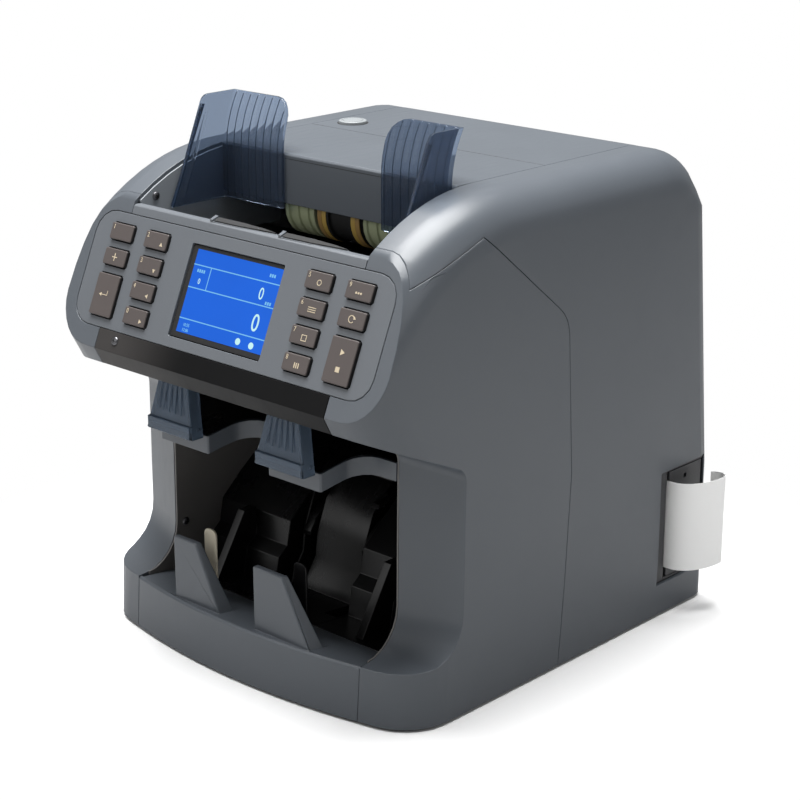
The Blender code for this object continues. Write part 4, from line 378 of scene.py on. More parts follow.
def lit(name, base, strength):
    """A printed or lit mark of the display behind its glass"""
    material, shader = principled(name)
    nodes, links = material.node_tree.nodes, material.node_tree.links
    place = nodes.new("ShaderNodeTexCoord")
    grid = nodes.new("ShaderNodeTexNoise")
    grid.inputs["Scale"].default_value = 30.0
    links.new(place.outputs["Object"], grid.inputs["Vector"])
    swing = nodes.new("ShaderNodeMapRange")
    swing.inputs["To Min"].default_value = 0.93
    swing.inputs["To Max"].default_value = 1.07
    links.new(grid.outputs["Fac"], swing.inputs["Value"])
    glow = nodes.new("ShaderNodeVectorMath")
    glow.operation = "SCALE"
    glow.inputs[0].default_value = base[:3]
    links.new(swing.outputs[0], glow.inputs["Scale"])
    links.new(glow.outputs[0], shader.inputs["Emission Color"])
    shader.inputs["Base Color"].default_value = (0.01, 0.01, 0.012, 1)
    shader.inputs["Emission Strength"].default_value = strength
    shader.inputs["Roughness"].default_value = 0.30
    shader.inputs["Specular IOR Level"].default_value = 0.06
    return material


def paper_finish():
    """Thermal paper with faint fibre clouds"""
    material, shader = principled("thermal_paper")
    nodes, links = material.node_tree.nodes, material.node_tree.links
    skin = nodes.new("ShaderNodeGroup")
    skin.node_tree = MOULDED_SKIN
    skin.inputs["Color"].default_value = colour(253, 253, 252)
    skin.inputs["Roughness"].default_value = 0.72
    skin.inputs["Grain Scale"].default_value = 900.0
    skin.inputs["Shade Change"].default_value = 0.05
    bump = nodes.new("ShaderNodeBump")
    bump.inputs["Strength"].default_value = 0.5
    bump.inputs["Distance"].default_value = 0.00005
    links.new(skin.outputs["Height"], bump.inputs["Height"])
    links.new(skin.outputs["Color"], shader.inputs["Base Color"])
    links.new(skin.outputs["Roughness"], shader.inputs["Roughness"])
    links.new(bump.outputs[0], shader.inputs["Normal"])
    return material


def painted_light_gloss(name, pale, deep, start, end):
    """Dark glossy plastic with painted light: its colour falls off from pale on the left to deep on the right,
    as painted shading where it turns from the light
    """
    material = moulded(name, deep, 0.42, grain_scale=1300.0, grain_depth=0.00006)
    nodes, links = material.node_tree.nodes, material.node_tree.links
    shader = nodes["Principled BSDF"]
    skin = nodes["Group"]
    place = nodes.new("ShaderNodeTexCoord")
    split = nodes.new("ShaderNodeSeparateXYZ")
    links.new(place.outputs["Object"], split.inputs[0])
    fade = nodes.new("ShaderNodeMapRange")
    fade.interpolation_type = "SMOOTHSTEP"
    fade.inputs["From Min"].default_value = start
    fade.inputs["From Max"].default_value = end
    links.new(split.outputs["X"], fade.inputs["Value"])
    # Painted light: the pale end stands for the lit left side of the liner, the deep end for its shaded right
    # side
    mix = nodes.new("ShaderNodeMix")
    mix.data_type = "RGBA"
    links.new(fade.outputs[0], mix.inputs["Factor"])
    mix.inputs[6].default_value = pale
    mix.inputs[7].default_value = deep
    links.new(mix.outputs[2], skin.inputs["Color"])
    shader.inputs["Specular IOR Level"].default_value = 0.12
    return material


BODY = moulded("housing_grey", colour(79, 84, 90), 0.36)
PANEL = moulded("panel_grey", colour(90, 94, 99), 0.40)
DARK = moulded("textured_dark_grey", colour(54, 54, 57), 0.45, grain_scale=1100.0, grain_depth=0.00012)
BLACK = moulded("gloss_black", colour(13, 13, 14), 0.28, grain_depth=0.00001, scuffs=0.03, specular=0.35)
HOPPER_GREY = moulded("hopper_side_grey", colour(132, 137, 142), 0.42)
MATT_BLACK = moulded("matt_black", colour(14, 14, 15), 0.6)
KEYCAP = moulded("keycap_brown", colour(74, 67, 65), 0.5, grain_scale=3000.0)
LINER = moulded("liner_grey", colour(104, 102, 100), 0.4, grain_scale=1100.0, grain_depth=0.00008)
LEGEND = moulded("legend_cream", colour(190, 176, 150), 0.55)
CREAM = moulded("cream_plastic", colour(206, 198, 178), 0.42)
LIGHT_GREY = moulded("button_grey", colour(128, 132, 134), 0.38)
GREEN_RUBBER = moulded("pale_green_rubber", colour(182, 190, 152), 0.62, grain_scale=1600.0,
                       grain_depth=0.00016)
BLACK_RUBBER = moulded("black_rubber", colour(28, 28, 28), 0.6, grain_scale=1500.0, grain_depth=0.00012)
TAN_RUBBER = moulded("tan_ring", colour(176, 141, 84), 0.5, grain_scale=1500.0, grain_depth=0.0001)
YELLOW_RUBBER = moulded("yellow_ring_edge", colour(206, 172, 88), 0.45)
STEEL = brushed("plated_steel", (0.58, 0.58, 0.58, 1), 0.30)
SHAFT_STEEL = brushed("ground_steel", (0.62, 0.62, 0.62, 1), 0.20)
SCREW_STEEL = brushed("screw_steel", (0.16, 0.16, 0.17, 1), 0.34)
GUIDE_CLEAR = smoky("smoky_guide", (0.24, 0.30, 0.40, 1), 0.05, clear=0.92)
STOP_CLEAR = smoky("smoky_stop", (0.14, 0.19, 0.26, 1), 0.12, clear=0.55, bend=1.3)
GUIDE_LINE = smoky("guide_line", (0.03, 0.05, 0.09, 1), 0.15, clear=0.4, bend=1.3)
BOARD = moulded("board_green", colour(30, 88, 50), 0.4)
PAPER = paper_finish()
# Hood liner with painted light: paler to the left where light falls, near black to the right
HOOD_PAINTED_LIGHT = painted_light_gloss("hood_painted_light", colour(58, 56, 55), colour(9, 9, 10), -0.085, -0.015)
SCREEN_BLUE = lit("screen_blue", colour(0, 96, 218), 1.0)
SCREEN_LINE = lit("screen_line", colour(120, 190, 236), 1.0)
SCREEN_DIGIT = lit("screen_digit", colour(196, 240, 240), 1.0)


# Mesh helpers

def piece_from(grid, name, *finishes):
    """A piece at the origin from a bmesh, with its finishes in slot order"""
    mesh = bpy.data.meshes.new(name)
    grid.to_mesh(mesh)
    grid.free()
    for finish in finishes:
        mesh.materials.append(finish)
    item = bpy.data.objects.new(name, mesh)
    bpy.context.scene.collection.objects.link(item)
    return item


def bake_modifiers(item):
    """Applies the modifiers for good, as a plain mesh"""
    bpy.context.view_layer.update()
    seen = item.evaluated_get(bpy.context.evaluated_depsgraph_get())
    mesh = bpy.data.meshes.new_from_object(seen)
    old = item.data
    item.modifiers.clear()
    item.data = mesh
    bpy.data.meshes.remove(old)
    return item


def ease_edges(item, width, segments=2, limit=32.0, keep=30.0):
    """Small rounded edges, then smooth shading that keeps flat faces flat"""
    if width:
        bevel = item.modifiers.new("edges", "BEVEL")
        bevel.width = width
        bevel.segments = segments
        bevel.limit_method = "ANGLE"
        bevel.angle_limit = math.radians(limit)
        bevel.use_clamp_overlap = False
        bake_modifiers(item)
    item.data.shade_smooth()
    item.data.set_sharp_from_angle(angle=math.radians(keep if not width else 60.0))
    weights = item.modifiers.new("weights", "WEIGHTED_NORMAL")
    weights.keep_sharp = True
    return bake_modifiers(item)


def solid_copy(node):
    """The node's solid with its loose triangles merged and its flat faces whole"""
    grid = bmesh.new()
    grid.from_mesh(frame["nodes"][node].data)
    bmesh.ops.remove_doubles(grid, verts=grid.verts, dist=0.000002)
    bmesh.ops.dissolve_limit(grid, angle_limit=math.radians(0.2), verts=grid.verts, edges=grid.edges)
    return grid


def stand_in(item, node):
    """Lets a piece ride with a node's body and take the node's place"""
    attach(item, frame["nodes"][node]["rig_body"])
    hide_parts(node)
    return item


def dressed(node, finish, width=0.0003, segments=2, limit=32.0, keep=30.0):
    """A node's own solid with softened edges and a real finish"""
    item = piece_from(solid_copy(node), node + "_finish", finish)
    ease_edges(item, width, segments, limit, keep)
    return stand_in(item, node)


def on_panel(x, down, out=0.0):
    """A point on the control panel from its place across and down the slope"""
    y = PANEL_TOP_Y - down * math.sin(PANEL_TILT) - out * math.cos(PANEL_TILT)
    z = PANEL_TOP_Z - down * math.cos(PANEL_TILT) + out * math.sin(PANEL_TILT)
    return Vector((x, y, z))


def panel_place(x, down, out):
    """Turns flat work, drawn across X and up Y, onto the panel"""
    turn = Matrix.Rotation(math.pi / 2 - PANEL_TILT, 4, "X")
    return Matrix.Translation(on_panel(x, down, out)) @ turn


def rounded_box(half_x, half_y, radius, steps=5):
    """Outline of a rectangle with round corners, anticlockwise"""
    points = []
    for corner, (sign_x, sign_y) in enumerate(((1, 1), (-1, 1), (-1, -1), (1, -1))):
        for k in range(steps + 1):
            angle = math.pi / 2 * (corner + k / steps)
            points.append((sign_x * (half_x - radius) + radius * math.cos(angle),
                           sign_y * (half_y - radius) + radius * math.sin(angle)))
    return points


def circle_points(radius, steps):
    """Points round a circle on X and Y"""
    return [(radius * math.cos(2 * math.pi * k / steps), radius * math.sin(2 * math.pi * k / steps))
            for k in range(steps)]


def stacked(grid, rings, slot=0):
    """A skin through rings of as many points each, with its ends closed"""
    rows = [[grid.verts.new(point) for point in ring] for ring in rings]
    for low, high in zip(rows, rows[1:]):
        for i in range(len(low)):
            j = (i + 1) % len(low)
            face = grid.faces.new((low[i], low[j], high[j], high[i]))
            face.material_index = slot
    grid.faces.new(list(reversed(rows[0]))).material_index = slot
    grid.faces.new(rows[-1]).material_index = slot


def flat_shape(grid, points, place, thickness, slot=0):
    """A thin flat shape drawn on X and Y, laid at a place"""
    rings = [[place @ Vector((a, b, level)) for a, b in points] for level in (0.0, thickness)]
    stacked(grid, rings, slot=slot)


def letter_mesh(body, size):
    """A plain figure from the built-in font as a flat mesh around its own middle"""
    curve = bpy.data.curves.new("figure", "FONT")
    curve.body = body
    curve.size = size
    curve.align_x = "CENTER"
    curve.align_y = "CENTER"
    curve.extrude = SKIN / 2
    curve.resolution_u = 4
    item = bpy.data.objects.new("figure", curve)
    bpy.context.scene.collection.objects.link(item)
    bpy.context.view_layer.update()
    mesh = bpy.data.meshes.new_from_object(item.evaluated_get(bpy.context.evaluated_depsgraph_get()))
    bpy.data.objects.remove(item, do_unlink=True)
    bpy.data.curves.remove(curve)
    return mesh


def add_figure(grid, body, size, place, stretch, slot=0):
    """Prints a figure at a place, drawn in across by its stretch"""
    mesh = letter_mesh(body, size)
    mesh.transform(place @ Matrix.Diagonal((stretch, 1, 1, 1)))
    before = len(grid.faces)
    grid.from_mesh(mesh)
    grid.faces.ensure_lookup_table()
    for face in grid.faces[before:]:
        face.material_index = slot
    bpy.data.meshes.remove(mesh)


# Camera, lamps, floor

def set_camera():
    """The photograph's own viewpoint"""
    lens = bpy.data.cameras.new("camera")
    lens.lens = CAMERA_LENS
    lens.sensor_width = 36
    lens.clip_end = 20
    camera = bpy.data.objects.new("camera", lens)
    bpy.context.scene.collection.objects.link(camera)
    camera.location = CAMERA_PLACE
    camera.rotation_euler = (math.pi / 2 - CAMERA_DROP, 0, CAMERA_AZIMUTH)
    bpy.context.scene.camera = camera


def softbox(name, place, size, power):
    """A rectangular lamp turned to the machine"""
    lamp = bpy.data.lights.new(name, "AREA")
    lamp.shape = "RECTANGLE"
    lamp.size, lamp.size_y = size
    lamp.energy = power
    item = bpy.data.objects.new(name, lamp)
    bpy.context.scene.collection.objects.link(item)
    item.location = place
    item.rotation_euler = (Vector(LAMP_AIM) - Vector(place)).to_track_quat("-Z", "Y").to_euler()


def set_world():
    """White to the camera and through clear parts, and a dimmer sky as a light"""
    world = bpy.data.worlds.new("studio")
    bpy.context.scene.world = world
    world.use_nodes = True
    nodes, links = world.node_tree.nodes, world.node_tree.links
    back = nodes["Background"]
    path = nodes.new("ShaderNodeLightPath")
    seen = nodes.new("ShaderNodeMath")
    seen.operation = "MAXIMUM"
    links.new(path.outputs["Is Camera Ray"], seen.inputs[0])
    links.new(path.outputs["Is Transmission Ray"], seen.inputs[1])
    level = nodes.new("ShaderNodeMapRange")
    level.inputs["To Min"].default_value = SKY_LIGHT
    level.inputs["To Max"].default_value = SKY_SEEN
    links.new(seen.outputs[0], level.inputs["Value"])
    links.new(level.outputs[0], back.inputs["Strength"])
    back.inputs["Color"].default_value = (1, 1, 1, 1)


def set_floor():
    """A pale floor that keeps the shadow near the machine and runs out to white"""
    grid = bmesh.new()
    ring = [(x, y, -SKIN) for x, y in circle_points(FLOOR_RADIUS, ROUND_STEPS)]
    grid.faces.new([grid.verts.new(point) for point in ring])
    material = bpy.data.materials.new("pale_floor")
    material.use_nodes = True
    nodes, links = material.node_tree.nodes, material.node_tree.links
    shader = nodes["Principled BSDF"]
    shader.inputs["Roughness"].default_value = 0.9
    white = nodes.new("ShaderNodeEmission")
    place = nodes.new("ShaderNodeTexCoord")
    length = nodes.new("ShaderNodeVectorMath")
    length.operation = "LENGTH"
    links.new(place.outputs["Object"], length.inputs[0])
    fade = nodes.new("ShaderNodeMapRange")
    fade.interpolation_type = "SMOOTHSTEP"
    fade.inputs["From Min"].default_value = FADE_START
    fade.inputs["From Max"].default_value = FADE_END
    links.new(length.outputs["Value"], fade.inputs["Value"])
    path = nodes.new("ShaderNodeLightPath")
    seen = nodes.new("ShaderNodeMath")
    seen.operation = "MAXIMUM"
    links.new(path.outputs["Is Camera Ray"], seen.inputs[0])
    links.new(path.outputs["Is Transmission Ray"], seen.inputs[1])
    pale = nodes.new("ShaderNodeMapRange")
    pale.inputs["To Min"].default_value = FLOOR_BOUNCE
    pale.inputs["To Max"].default_value = FLOOR_SEEN
    links.new(seen.outputs[0], pale.inputs["Value"])
    links.new(pale.outputs[0], shader.inputs["Base Color"])
    both = nodes.new("ShaderNodeMath")
    both.operation = "MULTIPLY"
    links.new(fade.outputs[0], both.inputs[0])
    links.new(seen.outputs[0], both.inputs[1])
    mix = nodes.new("ShaderNodeMixShader")
    links.new(both.outputs[0], mix.inputs["Fac"])
    links.new(shader.outputs[0], mix.inputs[1])
    links.new(white.outputs[0], mix.inputs[2])
    links.new(mix.outputs[0], nodes["Material Output"].inputs["Surface"])
    piece_from(grid, "floor", material)


# Pieces of the machine

def dress_housings():
    """Everything of the case and the pockets that keeps its solid's shape"""
    for node in ("right_front_housing", "left_front_housing", "right_rear_housing", "left_rear_housing"):
        dressed(node, BODY, 0.0004, keep=28.0)
    for node in ("front_skirt", "note_stop_plate", "hopper_cover", "rear_cover"):
        dressed(node, BODY, 0.0004)
    for node in ("left_hopper_side", "right_hopper_side"):
        dressed(node, HOPPER_GREY, 0.00025)
    dressed("hopper_lip", PANEL, 0.0003)
    dressed("keypad_plate", PANEL, 0.00025)
    dressed("reject_trim", BODY, 0.0002)
    dressed("hood_liner", HOOD_PAINTED_LIGHT, 0.0003)
    for node in ("left_pocket_liner", "right_pocket_liner"):
        dressed(node, LINER, 0.0002)
    dressed("stacker_housing", BLACK, 0.0005)
    dressed("reject_tray", BLACK, 0.0003)
    dressed("hopper_floor", BLACK, 0.0003)
    dressed("left_stack_blade", CREAM, 0.0003)
    dressed("right_stack_blade", BLACK, 0.0003)
    dressed("base_pan", DARK, 0.0003)
    dressed("power_inlet", MATT_BLACK, 0.0003)
    dressed("power_switch", BLACK, 0.0004)


def dress_slip():
    """The printed slip, drawn in a little nearer to the machine than its solid"""
    grid = solid_copy("paper_strip")
    outside = [vert for vert in grid.verts if vert.co.x > SLIP_LEAVE_X]
    lead = min(vert.co.y for vert in outside)
    for vert in outside:
        vert.co.x = SLIP_LEAVE_X + (vert.co.x - SLIP_LEAVE_X) * SLIP_OUT_SHARE
        vert.co.y = lead + (vert.co.y - lead) * SLIP_ALONG_SHARE
    item = piece_from(grid, "paper_strip_finish", PAPER)
    ease_edges(item, 0.0, keep=50.0)
    stand_in(item, "paper_strip")


def dress_insides():
    """Rollers, wheels, frames and the printer's pieces"""
    for node in ("left_side_frame", "right_side_frame"):
        dressed(node, STEEL, 0.0002)
    for node in ("feed_shaft", "stacker_shaft"):
        dressed(node, SHAFT_STEEL, 0.0004)
    dressed("main_motor", STEEL, 0.0006)
    dressed("main_board", BOARD, 0.0)
    dressed("transport_roller", BLACK_RUBBER, 0.0004)
    dressed("separator_roller", BLACK_RUBBER, 0.0003)
    for node in ("left_feed_wheel", "right_feed_wheel"):
        dressed(node, GREEN_RUBBER, 0.0003)
    for node in ("left_stacker_wheel", "right_stacker_wheel"):
        dressed(node, BLACK, 0.0003)
    dressed("printer_frame", DARK, 0.0003)
    dressed("printer_door", DARK, 0.0003)
    dressed("paper_roll", PAPER, 0.0)
    dress_slip()


def dress_clear_parts():
    """Smoky guides and stops"""
    for node in ("left_hopper_guide", "right_hopper_guide"):
        dressed(node, GUIDE_CLEAR, 0.0004, segments=3)
    for node in ("left_reject_stop", "right_reject_stop"):
        dressed(node, STOP_CLEAR, 0.0004, segments=3)


def key_places():
    """Name, x, distance down the slope, height and marks of each key"""
    rows = [KEY_ROW_TOP + KEY_PITCH * k for k in range(4)]
    tall = KEY_HEIGHT + KEY_PITCH
    places = [("key_1", -KEY_OUTER_X, rows[0], KEY_HEIGHT, "1", ""),
              ("key_add", -KEY_OUTER_X, rows[1], KEY_HEIGHT, "", "plus"),
              ("key_set", -KEY_OUTER_X, rows[2], tall, "", "enter"),
              ("key_9", KEY_OUTER_X, rows[0], KEY_HEIGHT, "9", "dots"),
              ("key_auto", KEY_OUTER_X, rows[1], KEY_HEIGHT, "", "loop"),
              ("key_start", KEY_OUTER_X, rows[2], tall, "", "start")]
    for label, row, mark in zip(("2", "3", "4", "0"), rows, ("up", "down", "left", "right")):
        places.append(("key_" + label, -KEY_INNER_X, row, KEY_HEIGHT, label, mark))
    for label, row, mark in zip(("5", "6", "7", "8"), rows, ("ring", "lines", "sheet", "bars")):
        places.append(("key_" + label, KEY_INNER_X, row, KEY_HEIGHT, label, mark))
    return places


def triangle(size, turn):
    """An even triangle whose first corner points along its turn"""
    corners = [turn + 2 * math.pi * k / 3 for k in range(3)]
    return [(size * math.cos(angle), size * math.sin(angle)) for angle in corners]


def bar(x, y, width, height):
    """A rectangle round its middle"""
    return [(x - width / 2, y - height / 2), (x + width / 2, y - height / 2),
            (x + width / 2, y + height / 2), (x - width / 2, y + height / 2)]


def arc_band(radius, width, start, end, steps=20):
    """A band along an arc, as one closed outline"""
    outer = [((radius + width / 2) * math.cos(start + (end - start) * k / steps),
              (radius + width / 2) * math.sin(start + (end - start) * k / steps)) for k in range(steps + 1)]
    inner = [((radius - width / 2) * math.cos(end + (start - end) * k / steps),
              (radius - width / 2) * math.sin(end + (start - end) * k / steps)) for k in range(steps + 1)]
    return outer + inner


def moved(points, x, y):
    """An outline shifted on X and Y"""
    return [(a + x, b + y) for a, b in points]


def mark_shapes(mark, unit):
    """Flat outlines of a key's plain symbol, in the key's own width unit"""
    line = unit * 0.022
    pointers = {"up": math.pi / 2, "down": -math.pi / 2, "left": math.pi, "right": 0}
    if mark in pointers:
        return [moved(triangle(unit * 0.075, pointers[mark]), unit * 0.27, -unit * 0.10)]
    if mark == "plus":
        return [bar(0, 0, unit * 0.22, line * 1.3), bar(0, unit * 0.0665, line * 1.3, unit * 0.104),
                bar(0, -unit * 0.0665, line * 1.3, unit * 0.104)]
    if mark == "enter":
        return [bar(0, 0, unit * 0.26, line), bar(unit * 0.13 - line / 2, unit * 0.075, line, unit * 0.13),
                moved(triangle(unit * 0.07, math.pi), -unit * 0.16, 0)]
    if mark == "loop":
        return [arc_band(unit * 0.10, line, math.radians(30), math.radians(320)),
                moved(triangle(unit * 0.055, math.radians(-20)), unit * 0.105, unit * 0.035)]
    if mark == "start":
        return [moved(triangle(unit * 0.10, 0), 0, unit * 0.24), bar(0, -unit * 0.24, unit * 0.15, unit * 0.15)]
    if mark == "dots":
        dot = arc_band(unit * 0.018, unit * 0.03, 0, NEARLY_ROUND, 10)
        return [moved(dot, unit * 0.09 * k, -unit * 0.06) for k in (-1, 0, 1)]
    if mark == "ring":
        return [moved(arc_band(unit * 0.075, line, 0, NEARLY_ROUND), 0.06 * unit, -unit * 0.04)]
    if mark == "lines":
        return [bar(0.06 * unit, unit * (0.03 - 0.06 * k), unit * 0.30, line) for k in range(3)]
    if mark == "sheet":
        return [bar(0.06 * unit, unit * 0.03, unit * 0.20, line),
                bar(0.06 * unit, -unit * 0.13, unit * 0.20, line),
                bar(-0.04 * unit + line / 2, -unit * 0.05, line, unit * 0.138),
                bar(0.16 * unit - line / 2, -unit * 0.05, line, unit * 0.138)]
    if mark == "bars":
        return [bar(0.06 * unit + unit * 0.075 * k, -unit * 0.05, line * 1.6, unit * 0.15) for k in (-1, 0, 1)]
    return []


def dress_keys():
    """Caps with round corners and flanks painted black as shade, with printed figures and plain symbols"""
    for node, x, top, height, figure, mark in key_places():
        grid = bmesh.new()
        place = panel_place(x, top + height / 2, 0)
        half_x, half_y = KEY_WIDTH / 2, height / 2
        levels = [(KEY_FLANK_FOOT, 0.0)] + [(KEY_PROUD + step, grow) for step, grow in KEY_STEPS]
        rings = []
        for out, grow in levels:
            outline = rounded_box(half_x + grow, half_y + grow, KEY_CORNER + grow / 2)
            rings.append([place @ Vector((a, b, out)) for a, b in outline])
        stacked(grid, rings)
        # Painted shade: flank faces below the top edge get matt black for the shade on the key's sides and in
        # the gap round it
        flat = place.inverted()
        for face in grid.faces:
            if (flat @ face.calc_center_median()).z < KEY_PROUD - KEY_PAINTED_SHADE_DROP:
                face.material_index = 1
        item = piece_from(grid, node + "_cap", KEYCAP, MATT_BLACK)
        ease_edges(item, 0.0, keep=50.0)
        stand_in(item, node)

        print_grid = bmesh.new()
        if figure:
            corner = panel_place(x - half_x * FIGURE_X_SHARE, top + KEY_HEIGHT * FIGURE_Y_SHARE,
                                 KEY_PROUD + SKIN / 2)
            add_figure(print_grid, figure, KEY_WIDTH * FIGURE_SHARE, corner, FIGURE_STRETCH)
        for points in mark_shapes(mark, KEY_WIDTH):
            flat_shape(print_grid, points, panel_place(x, top + height / 2, KEY_PROUD), SKIN)
        if print_grid.faces:
            marks = piece_from(print_grid, node + "_print", LEGEND)
            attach(marks, frame["nodes"][node]["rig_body"])
        else:
            print_grid.free()


def screen_place(across, down, out):
    """A place on the lit field from its shares across and down"""
    x = SCREEN_LEFT + (SCREEN_RIGHT - SCREEN_LEFT) * across
    return panel_place(x, SCREEN_TOP + (SCREEN_BOTTOM - SCREEN_TOP) * down, out)


def dress_display():
    """Dark bezel, lit field, ruled lines and plain figures"""
    dressed("display_module", MATT_BLACK, 0.0)
    body = frame["nodes"]["display_module"]["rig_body"]
    width, height = SCREEN_RIGHT - SCREEN_LEFT, SCREEN_BOTTOM - SCREEN_TOP
    grid = bmesh.new()
    flat_shape(grid, bar(0, 0, width, height), screen_place(0.5, 0.5, SCREEN_FACE), SKIN)
    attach(piece_from(grid, "screen_field", SCREEN_BLUE), body)

    grid = bmesh.new()
    drawn, printed = SCREEN_FACE + SKIN, SCREEN_FACE + SKIN * 1.5
    for share in RULE_SHARES:
        flat_shape(grid, bar(0, 0, width, SCREEN_RULE), screen_place(0.5, share, drawn), SKIN)
    upright = bar(0, 0, SCREEN_RULE * 0.8, height * 0.268)
    flat_shape(grid, upright, screen_place(0.208, 0.3215, drawn), SKIN)
    for across, share, text, size, stretch in SCREEN_FIGURES:
        add_figure(grid, text, size, screen_place(across, share, printed), stretch, slot=1)
    for across, share, text in SCREEN_SMALL_LINES:
        add_figure(grid, text, 0.0026, screen_place(across, share, printed), 0.9)
    for across, share in SCREEN_DOTS:
        flat_shape(grid, circle_points(0.0019, 20), screen_place(across, share, drawn), SKIN, slot=1)
    for across, share, count in SCREEN_TICKS:
        for k in range(count):
            tick = bar((k - (count - 1) / 2) * 0.0017, 0, 0.0011, 0.0018)
            flat_shape(grid, tick, screen_place(across, share, drawn), SKIN)
    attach(piece_from(grid, "screen_marks", SCREEN_LINE, SCREEN_DIGIT), body)


def dress_button():
    """Round release button with a ring groove"""
    grid = bmesh.new()
    rings = []
    for radius, rise in BUTTON_PROFILE:
        around = circle_points(radius, ROUND_STEPS)
        rings.append([(BUTTON_X + x, BUTTON_Y + y, TOP_Z + rise) for x, y in around])
    stacked(grid, rings)
    item = piece_from(grid, "release_button_cap", LIGHT_GREY)
    ease_edges(item, 0.0, keep=40.0)
    stand_in(item, "cover_release_button")


def ring_band(grid, ends, radius, slot, steps=ROUND_STEPS):
    """A thin band round the separator barrel, a little proud of it"""
    low_x, high_x = min(ends), max(ends)
    inner, shoulder = radius - RING_DEPTH, radius - RING_GAP
    rings = []
    for x, r in ((low_x, inner), (low_x, shoulder), (low_x + RING_GAP, radius), (high_x - RING_GAP, radius),
                 (high_x, shoulder), (high_x, inner)):
        rings.append([(x, FEED_Y + a, FEED_Z + b) for a, b in circle_points(r, steps)])
    rows = [[grid.verts.new(point) for point in ring] for ring in rings]
    rows.append(rows[0])
    for low, high in zip(rows, rows[1:]):
        for i in range(steps):
            j = (i + 1) % steps
            grid.faces.new((low[i], low[j], high[j], high[i])).material_index = slot


def dress_separator_rings():
    """Tan rings with a brighter inner band on the black barrel"""
    for side, name in ((-1, "left"), (1, "right")):
        grid = bmesh.new()
        x = side * RING_X
        ring_band(grid, (x, x - side * RING_BAND), RING_EDGE_RADIUS, 1)
        ring_band(grid, (x + side * RING_GAP, x + side * RING_BAND), RING_RADIUS, 0)
        bmesh.ops.recalc_face_normals(grid, faces=grid.faces)
        item = piece_from(grid, name + "_tan_ring", TAN_RUBBER, YELLOW_RUBBER)
        ease_edges(item, 0.0, keep=50.0)
        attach(item, frame["nodes"]["separator_roller"]["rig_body"])


def upright_prism(grid, points, levels, slot=0):
    """A straight prism over an outline given in millimetres from above"""
    rings = [[(x / 1000, y / 1000, z) for x, y in points] for z in levels]
    stacked(grid, rings, slot=slot)


def dress_lip():
    """Two finger rests along the lip: a raised light rim on each, and a black leaf-shaped sheet that is painted
    shade for the hollow inside the rest
    """
    for name, start in REST_STARTS:
        grid = bmesh.new()
        for points, levels, slot in ((REST_OUTLINE, REST_LEVELS, 0), (SHADED_HOLLOW_OUTLINE, SHADED_HOLLOW_LEVELS, 1),
                                     (RIM_OUTLINE, RIM_LEVELS, 0)):
            upright_prism(grid, [(start + x, y) for x, y in points], levels, slot)
        bmesh.ops.recalc_face_normals(grid, faces=grid.faces)
        item = piece_from(grid, name + "_finger_rest", PANEL, MATT_BLACK)
        ease_edges(item, REST_EDGE)
        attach(item, frame["nodes"]["hopper_lip"]["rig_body"])


def dress_lines():
    """The dark joint across the top, the step line and the two ticks on the hopper's back wall"""
    grid = bmesh.new()
    near, deep = HOPPER_BACK_Y - SKIN / 3, HOPPER_BACK_Y + SKIN
    step_z = TOP_Z - STEP_LINE_DROP
    strips = [((-COVER_SEAM_REACH, COVER_SEAM_Y - HALF_SEAM_WIDTH, TOP_Z - SKIN),
               (COVER_SEAM_REACH, COVER_SEAM_Y + HALF_SEAM_WIDTH, TOP_Z + SKIN / 4)),
              ((-STEP_LINE_REACH, near, step_z), (STEP_LINE_REACH, deep, step_z + LINE_WIDTH))]
    for z in TICK_HEIGHTS:
        strips.append(((TICK_ENDS[0], near, z), (TICK_ENDS[1], deep, z + LINE_WIDTH)))
    for low, high in strips:
        points = [(low[0], low[1]), (high[0], low[1]), (high[0], high[1]), (low[0], high[1])]
        rings = [[(x, y, z) for x, y in points] for z in (low[2], high[2])]
        stacked(grid, rings)
    item = piece_from(grid, "cover_lines", MATT_BLACK)
    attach(item, frame["nodes"]["hopper_cover"]["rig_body"])


def guide_ribbon(grid, points, width_x, width_y):
    """A thin bar through points, square across"""
    rings = []
    for x, y, z in points:
        rings.append([(x - width_x, y - width_y, z), (x + width_x, y - width_y, z),
                      (x + width_x, y + width_y, z), (x - width_x, y + width_y, z)])
    stacked(grid, rings)


def dress_guide_lines():
    """Upright rib lines on each guide's back plate and a dark edge down its side plate"""
    rise, top = GUIDE_FLARE_START_Z, GUIDE_LINE_TOP_Z
    heights = [GUIDE_LINE_FOOT_Z, rise]
    heights += [rise + (top - rise) * k / GUIDE_STEPS for k in range(1, GUIDE_STEPS + 1)]
    for side, name in ((-1, "left"), (1, "right")):
        grid = bmesh.new()
        for k in range(GUIDE_LINES):
            x = GUIDE_LINE_START_X - GUIDE_LINE_SPAN * (k + 0.5) / GUIDE_LINES
            high = top - (GUIDE_CORNER_DROP if k == GUIDE_LINES - 1 else 0.0)
            points = []
            for z in heights:
                level = min(z, high)
                lean = GUIDE_FLARE * max(0.0, (level - rise) / (GUIDE_TOP_Z - rise)) ** 2
                if not points or level > points[-1][2]:
                    points.append((side * x, GUIDE_BACK_Y - GUIDE_LINE_LIFT + lean, level))
            guide_ribbon(grid, points, *GUIDE_LINE_HALF)
        (foot_y, foot_z), (run_y, run_z) = GUIDE_EDGE_FOOT, GUIDE_EDGE_RUN
        shares = [k / GUIDE_STEPS for k in range(GUIDE_STEPS + 1)]
        edge = [(side * GUIDE_EDGE_X, foot_y + run_y * share, foot_z + run_z * share) for share in shares]
        guide_ribbon(grid, edge, *GUIDE_EDGE_HALF)
        bmesh.ops.recalc_face_normals(grid, faces=grid.faces)
        item = piece_from(grid, name + "_guide_lines", GUIDE_LINE)
        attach(item, frame["nodes"][name + "_hopper_guide"]["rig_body"])


